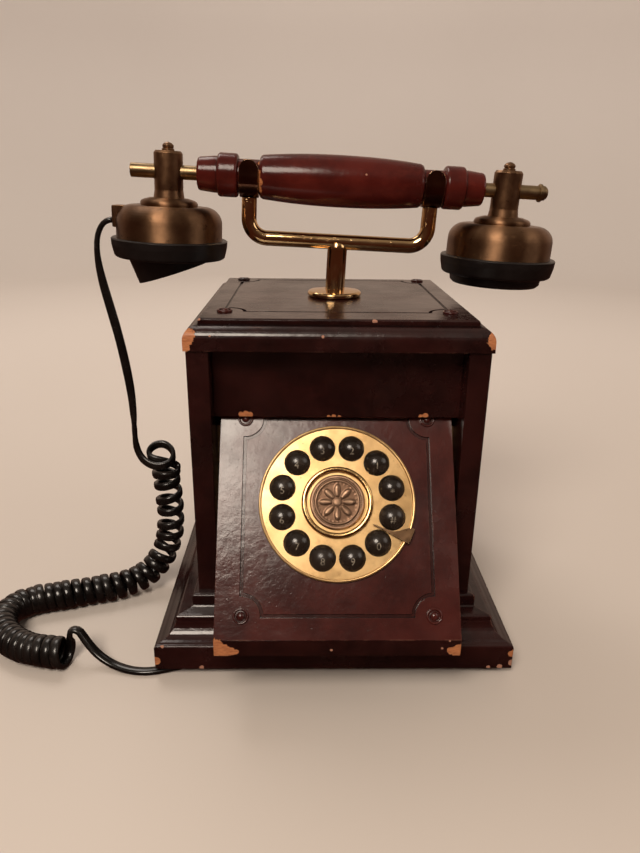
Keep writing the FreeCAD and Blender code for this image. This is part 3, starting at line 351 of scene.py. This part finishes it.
FINISHES = {
    # the cabinet's lacquer is darkened in part as painted shade, and the panel's is its lit copy, painted
    # light
    "cabinet": lacquered_wood("cabinet_lacquer_shaded_dark", *SHADED_OXBLOOD, CABINET_CHIPS, CABINET_DOTS),
    "panel": lacquered_wood("panel_lacquer_lit_maroon", *LIT_MAROON, NOSE_CORNERS, NOSE_DOTS),
    "handset": lacquered_wood("handset_lacquer_red", *RUSSET, GRIP_CHIPS, GRIP_DOTS, smooth=0.17, shine=0.28,
                              soften=0.3),
    "board": bare_wood("bare_board_wood", *RAW_WOOD, 0.75),
    "back": bare_wood("stained_back_board", *STAINED_WOOD, 0.5),
    "brass": metal("polished_brass_warm", *BRASS, 0.07, 0.17, stains=0.45, edge_wear_and_glint=(0.92, 0.70, 0.42)),
    "bronze": metal("antique_bronze_cast", *BRONZE, 0.30, 0.46, stains=0.8, rings=0.02, edge_wear_and_glint=BRONZE_EDGE),
    "bell": metal("antique_bronze_turned", *BRONZE, 0.40, 0.50, stains=0.8, rings=0.02, edge_wear_and_glint=BRONZE_EDGE,
                  turned=0.9),
    # dark brass as painted shade, with a painted highlight along its edges
    "fork": metal("fork_brass_darkened", *FORK_BRASS, 0.12, 0.24, stains=0.4, edge_wear_and_glint=(0.90, 0.62, 0.36)),
    "worn_brass": metal("worn_brass_rod", *ROD_BRASS, 0.32, 0.5, stains=0.6),
    "ring": metal("dial_ring_brass", *RING_BRASS, 0.16, 0.3, stains=0.6, scale=2.0, edge_wear_and_glint=(0.92, 0.70, 0.38)),
    "stop": metal("finger_stop_bronze", *STOP_BRONZE, 0.26, 0.44, stains=0.7, scale=2.0,
                  edge_wear_and_glint=(0.62, 0.45, 0.26)),
    "dial": dial_gold(),
    "badge": metal("badge_rim_bronze", *BADGE_BRONZE, 0.28, 0.45, stains=0.6, scale=2.0,
                   edge_wear_and_glint=(0.45, 0.31, 0.20)),
    "bakelite": moulded("bakelite_black", (0.0045, 0.0036, 0.0036), (0.0085, 0.0060, 0.0056), 0.30, 0.44,
                        dust=(0.11, 0.07, 0.055), dusty=0.04),
    "key": moulded("key_plastic_brown", (0.016, 0.0115, 0.0085), (0.026, 0.018, 0.013), 0.20, 0.34,
                   dusty=0.25, lump=0.03, coat=0.25),
    "cord": moulded("cord_pvc_black", (0.0045, 0.0038, 0.0036), (0.0090, 0.0068, 0.0060), 0.17, 0.32,
                    dust=(0.14, 0.10, 0.08), dusty=0.07, coat=0.2),
    "rubber": moulded("foot_rubber", (0.012, 0.012, 0.012), (0.022, 0.021, 0.020), 0.6, 0.8, dusty=0.3),
    "plastic": moulded("inner_plastic", (0.016, 0.016, 0.017), (0.026, 0.026, 0.028), 0.3, 0.5),
    "zinc": metal("zinc_steel", *ZINC, 0.25, 0.45),
    "circuit": printed_board(),
}

# the finish of each material slot of the record
SLOT_FINISH = {
    "cabinet_lacquer": "cabinet", "handset_lacquer": "handset", "bare_board": "board",
    "black_rubber": "rubber", "polished_brass": "brass", "antique_bronze": "bronze",
    "worn_brass": "worn_brass", "dial_gold": "dial", "ring_brass": "ring", "badge_bronze": "badge",
    "black_bakelite": "bakelite", "key_plastic": "key", "circuit_board": "circuit", "zinc_steel": "zinc",
    "black_plastic": "plastic", "cord_pvc": "cord",
}
# nodes that look different from the rest of their slot; the dial panel and the corner studs take the
# lacquer's lit copy, painted light
NODE_FINISH = {
    "dial_panel": "panel", "corner_studs": "panel", "back_panel": "back", "finger_stop": "stop",
    "cradle_forks": "fork", "transmitter_bell": "bell", "receiver_bell": "bell",
}


def dress(piece, finish):
    """Puts one finish in every material slot of a piece."""
    if not piece.material_slots:
        piece.data.materials.append(FINISHES[finish])
    for slot in piece.material_slots:
        slot.link = "OBJECT"
        slot.material = FINISHES[finish]


def slot_of(node):
    """The record's material slot of a CAD node."""
    return next(s["material_slot"] for s in frame["record"]["subparts"] if s["node"] == node)


# ---------------------------------------------------------------- carried-over CAD parts
# radii of the boards' edges, in millimetres
BOARD_EDGES = {
    "left_side_panel": 0.5, "right_side_panel": 0.5, "dial_box_sides": 0.5, "dial_box_floor": 0.6,
    "front_board": 0.4, "plinth_moulding": 0.4,
}


SHARP_EDGE = math.radians(40)
WELD_WITHIN = 0.002


def round_edges(piece, width):
    """Real small radii on the sharp edges of a board."""
    weld = piece.modifiers.new("weld", "WELD")
    weld.merge_threshold = WELD_WITHIN * MM
    bevel = piece.modifiers.new("edges", "BEVEL")
    bevel.width = width * MM
    bevel.segments = 2
    bevel.limit_method = "ANGLE"
    bevel.angle_limit = SHARP_EDGE
    bevel.harden_normals = True


def dress_nodes():
    """Gives every CAD node its finish."""
    for name, node in NODES.items():
        dress(node, NODE_FINISH.get(name) or SLOT_FINISH[slot_of(name)])


# ---------------------------------------------------------------- mesh helpers
def new_piece(name, mesh, finish):
    """A smooth-shaded object from a mesh, with its finish."""
    piece = bpy.data.objects.new(name, mesh)
    bpy.context.scene.collection.objects.link(piece)
    dress(piece, finish)
    for face in mesh.polygons:
        face.use_smooth = True
    return piece


def line_points(points, resolution):
    """Points of a smooth NURBS line that has these control points."""
    curve = bpy.data.curves.new("line", "CURVE")
    curve.dimensions = "3D"
    spline = curve.splines.new("NURBS")
    spline.points.add(len(points) - 1)
    for dot, point in zip(spline.points, points):
        dot.co = (*point, 1)
    spline.order_u = 3
    spline.use_endpoint_u = True
    spline.resolution_u = resolution
    curve.resolution_u = resolution
    holder = bpy.data.objects.new("line", curve)
    mesh = bpy.data.meshes.new_from_object(holder)
    found = [v.co.copy() for v in mesh.vertices]
    bpy.data.objects.remove(holder)
    bpy.data.curves.remove(curve)
    bpy.data.meshes.remove(mesh)
    return found


def lengths_along(points):
    """Distance from the first point to each point."""
    found = [0.0]
    for a, b in zip(points, points[1:]):
        found.append(found[-1] + (b - a).length)
    return found


def stepped(pairs, x):
    """Straight-line value between (x, value) pairs."""
    if x <= pairs[0][0]:
        return pairs[0][1]
    for (x0, y0), (x1, y1) in zip(pairs, pairs[1:]):
        if x <= x1:
            return y0 + (y1 - y0) * (x - x0) / (x1 - x0)
    return pairs[-1][1]


# ---------------------------------------------------------------- the cord
CORD_WIDE = 5.0
CORD_THICK = 3.0
CORD_SIDES = 14              # of the tube's section
CORD_WIDE_POWER = 0.72       # below 1, these make the oval section flatter
CORD_THICK_POWER = 0.86
STEPS_PER_DOT = 4            # of the smooth line
COIL_RADIUS = 7.2            # of the centreline, round the coil's axis
DOTS_PER_TURN = 14
RADIUS_WOBBLE = 0.30         # how unevenly the turns are wound, in millimetres
PITCH_WOBBLE = 0.45
TURN_TILT = 0.4              # share of a turn's slack that tilts it
LIE = CORD_THICK / 2 + 0.15  # centreline height where the cord lies flat
LOWEST = CORD_THICK / 2 + 0.05

COIL_AXIS = [
    (-101.9, -5, 76.5), (-100.8, -5, 66), (-100.3, -5, 50), (-101.4, -6, 34.5), (-106.2, -10, 20.5),
    (-116.5, -17, 10.8), (-130.5, -24.6, 8.75), (-146.5, -29.8, 8.75), (-162.5, -35.2, 8.75),
    (-177, -39, 8.75), (-187.6, -47, 8.75), (-189, -60.5, 8.75), (-182, -72.5, 8.75), (-171, -81.5, 8.75),
    (-157, -86.5, 8.75), (-143, -88, 8.75),
]
# spacing of the turns, at distances along the coil's axis, both in millimetres
COIL_PITCH = [(0, 8.4), (22, 9.4), (42, 8.0), (62, 7.0), (85, 6.2), (110, 5.6), (140, 4.7), (170, 5.2),
              (198, 4.1), (222, 5.6), (245, 7.2)]
# from the bracket beside the left bell down to the loop: x, y, z, turn of the flat side in degrees
UPPER_LINE = [
    (-120.1, -3, 225.7, 80), (-124.9, -3, 225.9, 80), (-130.0, -3.1, 218.2, 78), (-131.1, -3.4, 207.5, 60),
    (-129.6, -4, 194.5, 25), (-126.5, -4.6, 180, -5), (-122.9, -5, 163, -30), (-120.3, -5, 145.5, -20),
    (-118.5, -5, 128, 20), (-118.4, -5, 114, 45),
]
FIRST_LOOP = [
    (-118.6, -5, 105), (-118.4, -6, 94), (-114.3, -8.5, 86.5), (-107, -11, 83.5), (-100, -10.5, 84),
    (-96, -6.5, 86.5), (-97.5, -1, 90.5), (-103, 2, 93.5), (-108.8, 0.5, 93), (-111.9, -3.5, 90.3),
    (-110, -7, 87.5), (-105.5, -8, 86.7), (-99.5, -6.5, 84.5), (-95, -3.5, 81.5), (-93.6, -5.5, 78.5),
    (-95.5, -9.5, 77.5), (-101, -12.2, 77.6), (-107, -10, 77.2),
]
COIL_LEAVES = (0, 0.93, 0.37)   # side of the last turn where the lead starts
LEAD_LINE = [
    (-142.8, -81.7, 15.0), (-141.6, -81.2, 18.6), (-137.4, -81.4, 18.7), (-134.6, -82.6, 14.6),
    (-131.2, -84.3, 10.4), (-126.2, -86.6, 6.0), (-119.0, -89.6, 2.9), (-110.5, -92.5, LIE), (-103, -94, LIE),
    (-96.8, -93.8, LIE), (-90, -92, LIE), (-80, -88.6, LIE), (-69.5, -81.6, LIE), (-59.2, -73.9, LIE),
    (-49, -66.8, 2),
]


def coil_dots():
    """Control points of the curly part, each with the direction of the cord's flat side."""
    axis = line_points([at(*p) for p in COIL_AXIS], 24)
    far = lengths_along(axis)
    turns = [0.0]
    for i in range(1, len(axis)):
        pitch = stepped(COIL_PITCH, (far[i] + far[i - 1]) / 2 / MM) * MM
        turns.append(turns[-1] + (far[i] - far[i - 1]) / pitch)
    sides, forward = [], []
    side = -X_AXIS
    for i in range(len(axis)):
        along = (axis[min(i + 1, len(axis) - 1)] - axis[max(i - 1, 0)]).normalized()
        side = (side - along * side.dot(along)).normalized()
        sides.append(side)
        forward.append(along)
    out = Vector(COIL_LEAVES)
    across = forward[-1].cross(sides[-1])
    last = math.atan2(out.dot(across), out.dot(sides[-1])) / math.tau
    whole = round(turns[-1] - last) + last
    stretch = whole / turns[-1]
    count = round(whole * DOTS_PER_TURN)
    rng = random.Random(7)
    wobble = [rng.uniform(-1, 1) for _ in range(int(whole) + 3)]
    dots, i = [], 0
    for k in range(count + 1):
        turn = whole * k / count
        while i < len(axis) - 2 and turns[i + 1] * stretch < turn:
            i += 1
        share = (turn - turns[i] * stretch) / ((turns[i + 1] - turns[i]) * stretch)
        share = min(max(share, 0.0), 1.0)
        middle = axis[i].lerp(axis[i + 1], share)
        along = forward[i].lerp(forward[i + 1], share).normalized()
        side = sides[i].lerp(sides[i + 1], share)
        side = (side - along * side.dot(along)).normalized()
        loose = wobble[int(turn)] * (1 - turn % 1) + wobble[int(turn) + 1] * (turn % 1)
        slack = max(stepped(COIL_PITCH, far[i] / MM) - CORD_WIDE, 0)
        radius = (COIL_RADIUS + RADIUS_WOBBLE * loose) * MM
        angle = turn * math.tau
        point = middle + radius * (math.cos(angle) * side + math.sin(angle) * along.cross(side))
        shift = PITCH_WOBBLE * wobble[int(turn + 0.5) % len(wobble)]
        tilt = TURN_TILT * slack * loose * math.cos(angle)
        point += along * (MM * (shift + tilt))
        point.z = max(point.z, LOWEST * MM)
        dots.append((point, along))
    print(f"coil: {whole:.2f} turns on an axis of {far[-1] / MM:.0f} mm")
    return dots


def flat_side(along, degrees):
    """Direction of the flat side, turned by degrees from square to the viewer."""
    across = along.cross(Y_AXIS).normalized()
    deep = across.cross(along)
    turn = math.radians(degrees)
    return across * math.cos(turn) + deep * math.sin(turn)


def cord_dots():
    """The cord's control points and flat sides, from the gland under the case to the bell."""
    coil = coil_dots()
    lead = [at(*p) for p in reversed(LEAD_LINE)]
    loop = [at(*p) for p in reversed(FIRST_LOOP)]
    upper = [at(x, y, z) for x, y, z, _ in reversed(UPPER_LINE)]
    twist = [t for *_, t in reversed(UPPER_LINE)]
    points = lead + [p for p, _ in reversed(coil)] + loop + upper
    sides = []
    for i, point in enumerate(points):
        along = (points[min(i + 1, len(points) - 1)] - points[max(i - 1, 0)]).normalized()
        if i < len(lead):
            side = along.cross(Z_AXIS)
        elif i < len(lead) + len(coil):
            side = coil[len(coil) - 1 - (i - len(lead))][1]
        elif i < len(lead) + len(coil) + len(loop):
            side = Z_AXIS
        else:
            side = flat_side(along, twist[i - len(points) + len(upper)])
        side = (side - along * side.dot(along)).normalized()
        if sides and side.dot(sides[-1]) < 0:
            side = -side
        sides.append(side)
    return points, sides


def build_cord():
    """One flat curly cord, from the gland under the case to the left bell."""
    points, sides = cord_dots()
    path = line_points(points, STEPS_PER_DOT)
    last = len(path) - 1
    mesh = bpy.data.meshes.new("cord")
    bm = bmesh.new()
    rows, before = [], None
    for i, middle in enumerate(path):
        along = (path[min(i + 1, last)] - path[max(i - 1, 0)]).normalized()
        place = min(max(i / last * (len(points) - 2) + 0.5, 0), len(points) - 1.001)
        k = int(place)
        side = sides[k].lerp(sides[k + 1], place - k)
        side = (side - along * side.dot(along)).normalized()
        if before is not None and side.dot(before) < 0:
            side = -side
        before = side
        flat = along.cross(side)
        row = []
        for j in range(CORD_SIDES):
            angle = math.tau * j / CORD_SIDES
            c, s = math.cos(angle), math.sin(angle)
            wide = math.copysign(abs(c) ** CORD_WIDE_POWER, c) * CORD_WIDE / 2 * MM
            thick = math.copysign(abs(s) ** CORD_THICK_POWER, s) * CORD_THICK / 2 * MM
            row.append(bm.verts.new(middle + side * wide + flat * thick))
        rows.append(row)
    for a, b in zip(rows, rows[1:]):
        for j in range(CORD_SIDES):
            k = (j + 1) % CORD_SIDES
            bm.faces.new((a[j], a[k], b[k], b[j]))
    bm.faces.new(rows[0])
    bm.faces.new(rows[-1])
    bmesh.ops.recalc_face_normals(bm, faces=bm.faces)
    bm.to_mesh(mesh)
    bm.free()
    cord = new_piece("curly_cord", mesh, "cord")
    total = lengths_along(path)[-1]
    print(f"cord: {total:.3f} m on {len(path)} rings")
    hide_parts("cord_lead", "cord_coil", "cord_upper")
    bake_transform(cord)


# ---------------------------------------------------------------- the dial's small details
DIAL_TILT = math.radians(56.2)
DIAL_MIDDLE = at(0, -83.95, 96.55)
DIAL_FRAME = Matrix.Translation(DIAL_MIDDLE) @ Matrix.Rotation(DIAL_TILT, 4, "X")
KEY_CIRCLE = 28.2           # radius of the ring of keys
KEY_BALL_R = 7.54           # of a key's dome
KEY_BALL_Z = -2.14          # height of the dome's centre over the dial's face
FIRST_KEY = 45              # degrees round the dial
KEY_STEP = 30
KEYS = ["1", "2", "3", "4", "5", "6", "7", "8", "9", "0", "hash", "star"]
KEY_MARKS = {"hash": "#", "star": "*"}
MARK_HEIGHT = 3.5
MARK_DROP = 1.9             # the figures stand below the middle of the dome
MARK_LIFT = 0.035           # over the dome
MARK_EDGE = 0.45            # longest edge of a figure's mesh
FIGURE_SHARE = 0.72         # height of a figure, as a share of the font's size


def cut_long_edges(bm, longest):
    """Splits the edges that are longer than longest."""
    for _ in range(4):
        edges = [e for e in bm.edges if e.calc_length() > longest]
        if not edges:
            return
        bmesh.ops.subdivide_edges(bm, edges=edges, cuts=1)
        bmesh.ops.triangulate(bm, faces=bm.faces)


def key_mark(key, index):
    """The character printed on a key, laid on its dome."""
    text = bpy.data.curves.new("mark", "FONT")
    text.body = KEY_MARKS.get(key, key)
    text.align_x = "CENTER"
    text.size = MARK_HEIGHT / FIGURE_SHARE
    text.resolution_u = 4
    holder = bpy.data.objects.new("mark", text)
    mesh = bpy.data.meshes.new_from_object(holder)
    bpy.data.objects.remove(holder)
    bm = bmesh.new()
    bm.from_mesh(mesh)
    middle = sum((v.co for v in bm.verts), Vector()) / len(bm.verts)
    tall = [v.co.y for v in bm.verts]
    middle.y = (min(tall) + max(tall)) / 2
    bmesh.ops.triangulate(bm, faces=bm.faces)
    cut_long_edges(bm, MARK_EDGE)
    angle = math.radians(FIRST_KEY + KEY_STEP * index)
    centre = Vector((KEY_CIRCLE * math.cos(angle), KEY_CIRCLE * math.sin(angle), 0))
    for v in bm.verts:
        x, y = v.co.x - middle.x, v.co.y - middle.y - MARK_DROP
        z = KEY_BALL_Z + math.sqrt(KEY_BALL_R ** 2 - x * x - y * y) + MARK_LIFT
        v.co = DIAL_FRAME @ ((centre + Vector((x, y, z))) * MM)
    bm.to_mesh(mesh)
    bm.free()
    piece = new_piece(f"key_mark_{key}", mesh, "mark")
    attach(piece, f"key_{key}_button")


BADGE_FACE_Z = 2.32         # height of the badge's face over the dial's
ROSETTE_RADIUS = 11.6
ROSETTE_GAP = 0.06          # between the badge's face and the lowest relief
ROSETTE_DEPTH = 0.5
ROSETTE_SKIRT = 0.4         # the edge goes down into the badge by this much
ROSETTE_RINGS = 30
ROSETTE_SPOKES = 128


def rosette_height(r, angle):
    """Relief from 0 to 1 at a radius in millimetres: eight petals, a boss, a rim and a row of beads."""
    reach = 3.2 + 6.0 * abs(math.cos(4 * angle))
    petal = max(0.0, min(1.0, (reach - r) / 1.1)) * max(0.0, min(1.0, (r - 2.6) / 0.5))
    rib = 0.55 + 0.45 * math.cos(8 * angle)
    boss = max(0.0, 1 - (r / 2.3) ** 2) ** 0.5
    rim = max(0.0, 1 - abs(r - 10.7) / 0.55)
    bead = max(0.0, 1 - abs(r - 9.75) / 0.4) * max(0.0, math.cos(32 * angle))
    return max(petal * rib, boss, rim, bead * 0.7)


def rosette():
    """A plain eight-petal rosette in low relief on the middle badge."""
    mesh = bpy.data.meshes.new("rosette")
    bm = bmesh.new()
    shade = bm.verts.layers.float.new("relief")
    rows = []
    for i in range(ROSETTE_RINGS + 1):
        r = ROSETTE_RADIUS * i / ROSETTE_RINGS
        row = []
        for j in range(ROSETTE_SPOKES if i else 1):
            angle = math.tau * j / ROSETTE_SPOKES
            lift = rosette_height(r, angle)
            z = BADGE_FACE_Z + ROSETTE_GAP + ROSETTE_DEPTH * lift
            v = bm.verts.new(DIAL_FRAME @ (Vector((r * math.cos(angle), r * math.sin(angle), z)) * MM))
            v[shade] = lift
            row.append(v)
        rows.append(row)
    down = DIAL_FRAME.to_3x3() @ Vector((0, 0, ROSETTE_SKIRT * MM))
    skirt = [bm.verts.new(v.co - down) for v in rows[-1]]
    for j in range(ROSETTE_SPOKES):
        k = (j + 1) % ROSETTE_SPOKES
        bm.faces.new((rows[0][0], rows[1][j], rows[1][k]))
        for a, b in zip(rows[1:], rows[2:]):
            bm.faces.new((a[j], b[j], b[k], a[k]))
        bm.faces.new((rows[-1][j], skirt[j], skirt[k], rows[-1][k]))
    bm.to_mesh(mesh)
    bm.free()
    piece = new_piece("badge_rosette", mesh, "rosette")
    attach(piece, "cabinet")


def mark_print():
    """Worn pale print on the keys."""
    f = Finish("key_mark_print", Roughness=0.42)
    worn = f.band(f.noise(900, 3.0, 0.65), 0.38, 0.62)
    f.colour(f.mix(worn, (0.10, 0.085, 0.065), (0.32, 0.28, 0.22)))
    f.bump((f.noise(1500, 2.0), 0.01))
    return f.material


# ---------------------------------------------------------------- floor, lights and camera
def floor_finish():
    """Matt pale paper with faint clouds."""
    f = Finish("floor_paper", Roughness=0.55)
    f.colour(f.mix(f.noise(1.5, 3.0), (0.70, 0.63, 0.57), (0.75, 0.68, 0.62)))
    return f.material


# the stage's sizes are in metres
FLOOR_REACH = 1.5
COVE_RADIUS = 0.7
WALL_TOP = 3.6
SPOKES = 96


def turned_sheet(name, profile, finish):
    """A surface turned round Z from (radius, height) pairs, in metres."""
    bm = bmesh.new()
    rows = []
    for r, z in profile:
        row = []
        for j in range(SPOKES if r else 1):
            angle = math.tau * j / SPOKES
            row.append(bm.verts.new((r * math.cos(angle), r * math.sin(angle), z)))
        rows.append(row)
    for a, b in zip(rows, rows[1:]):
        for j in range(SPOKES):
            k = (j + 1) % SPOKES
            bm.faces.new((a[0], b[j], b[k]) if len(a) == 1 else (a[j], b[j], b[k], a[k]))
    mesh = bpy.data.meshes.new(name)
    bm.to_mesh(mesh)
    bm.free()
    return new_piece(name, mesh, finish)


def build_stage():
    """A pale floor that curves up into a round pale wall, far from the object."""
    FINISHES["floor"] = floor_finish()
    floor = turned_sheet("studio_floor", [(0.0, 0.0), (0.5, 0.0), (1.0, 0.0), (FLOOR_REACH, 0.0)], "floor")
    rise = [math.radians(a) for a in range(0, 91, 6)]
    cove = [(FLOOR_REACH + COVE_RADIUS * math.sin(a), COVE_RADIUS * (1 - math.cos(a))) for a in rise]
    wall = turned_sheet("studio_wall", cove + [(FLOOR_REACH + COVE_RADIUS, WALL_TOP)], "floor")
    floor.visible_glossy = False
    wall.visible_glossy = False
    wall.visible_diffuse = False
    wall.visible_shadow = False


def soft_light(name, place, target, size, watts, colour):
    """A round area light at place, turned to target."""
    data = bpy.data.lights.new(name, "AREA")
    data.shape = "DISK"
    data.size = size
    data.energy = watts
    data.color = colour
    lamp = bpy.data.objects.new(name, data)
    bpy.context.scene.collection.objects.link(lamp)
    lamp.location = place
    lamp.rotation_euler = (Vector(target) - Vector(place)).to_track_quat("-Z", "Y").to_euler()


AIR_FRONT = (0.060, 0.030, 0.022)
AIR_BACK = (0.50, 0.365, 0.28)
AIR_TOP = (0.26, 0.215, 0.175)
AIR_BELOW = (0.050, 0.016, 0.010)


def build_air():
    """Soft light from all round: bright behind, less so above, dim in front and below, as in a room."""
    world = bpy.data.worlds.new("studio_air")
    bpy.context.scene.world = world
    world.use_nodes = True
    nodes, links = world.node_tree.nodes, world.node_tree.links
    axes = nodes.new("ShaderNodeSeparateXYZ")
    links.new(nodes.new("ShaderNodeTexCoord").outputs["Generated"], axes.inputs[0])

    def rise(axis, low, high):
        """0 below low and 1 above high along an axis."""
        part = nodes.new("ShaderNodeMapRange")
        part.interpolation_type = "SMOOTHSTEP"
        links.new(axes.outputs[axis], part.inputs["Value"])
        part.inputs["From Min"].default_value = low
        part.inputs["From Max"].default_value = high
        return part.outputs[0]

    def blend(share, a, b):
        mix = nodes.new("ShaderNodeMix")
        mix.data_type = "RGBA"
        links.new(share, mix.inputs[0])
        for socket, value in ((mix.inputs[6], a), (mix.inputs[7], b)):
            if isinstance(value, tuple):
                socket.default_value = (*value, 1)
            else:
                links.new(value, socket)
        return mix.outputs[2]

    level = blend(rise("Y", -0.20, 0.60), AIR_FRONT, AIR_BACK)
    high = blend(rise("Z", 0.30, 0.95), level, AIR_TOP)
    links.new(blend(rise("Z", -0.10, 0.06), AIR_BELOW, high), nodes["Background"].inputs["Color"])



WARM_WHITE = (1.0, 0.91, 0.83)
# lights aimed at the wall, so that it is pale on every side
WALL_LIGHTS = (("wall_left", -1, 0), ("wall_right", 1, 0), ("wall_front", 0, -1))


def build_lights():
    """A soft key light in front at the left, weak side and back lights, and lights on the wall."""
    soft_light("key", (-0.31, -0.90, 1.04), (0, -0.05, 0.12), 0.56, 11.2, (1.0, 0.87, 0.74))
    soft_light("side", (1.10, -0.35, 0.80), (0, 0, 0.12), 0.7, 2.0, (1.0, 0.90, 0.80))
    soft_light("back", (-0.55, 0.80, 1.55), (0, 0, 0.12), 0.8, 6.0, WARM_WHITE)
    soft_light("wall_back", (0.0, 0.55, 1.5), (0, 2.2, 0.75), 1.2, 17.0, WARM_WHITE)
    for name, x, y in WALL_LIGHTS:
        soft_light(name, (0.9 * x, 0.9 * y, 1.5), (2.2 * x, 2.2 * y, 1.0), 1.0, 11.0, WARM_WHITE)


CAMERA_AT = at(-15.94, -384.0, 248.40)
CAMERA_LENS = 28.31
CAMERA_YAW = math.radians(1.318)
CAMERA_PITCH = math.radians(20.364)
CAMERA_ROLL = math.radians(0.763)


def build_camera():
    """A hand-held camera in front, a little above the lid and looking down."""
    north = Vector((math.sin(CAMERA_YAW), math.cos(CAMERA_YAW), 0))
    ahead = math.cos(CAMERA_PITCH) * north - math.sin(CAMERA_PITCH) * Z_AXIS
    level = Vector((math.cos(CAMERA_YAW), -math.sin(CAMERA_YAW), 0))
    up = level.cross(ahead)
    right = math.cos(CAMERA_ROLL) * level + math.sin(CAMERA_ROLL) * up
    top = -math.sin(CAMERA_ROLL) * level + math.cos(CAMERA_ROLL) * up
    data = bpy.data.cameras.new("camera")
    data.lens = CAMERA_LENS
    data.sensor_width = 36.0
    data.clip_start = 0.01
    camera = bpy.data.objects.new("camera", data)
    bpy.context.scene.collection.objects.link(camera)
    turn = Matrix((right, top, -ahead)).transposed().to_4x4()
    camera.matrix_world = Matrix.Translation(CAMERA_AT) @ turn
    bpy.context.scene.camera = camera


# ---------------------------------------------------------------- the scene
FINISHES["mark"] = mark_print()
FINISHES["rosette"] = badge_bronze()
build_camera()
build_cord()
dress_nodes()
for board, width in BOARD_EDGES.items():
    round_edges(NODES[board], width)
for number, key_name in enumerate(KEYS):
    key_mark(key_name, number)
rosette()
build_stage()
build_lights()
build_air()
bpy.context.scene.view_settings.view_transform = "Standard"
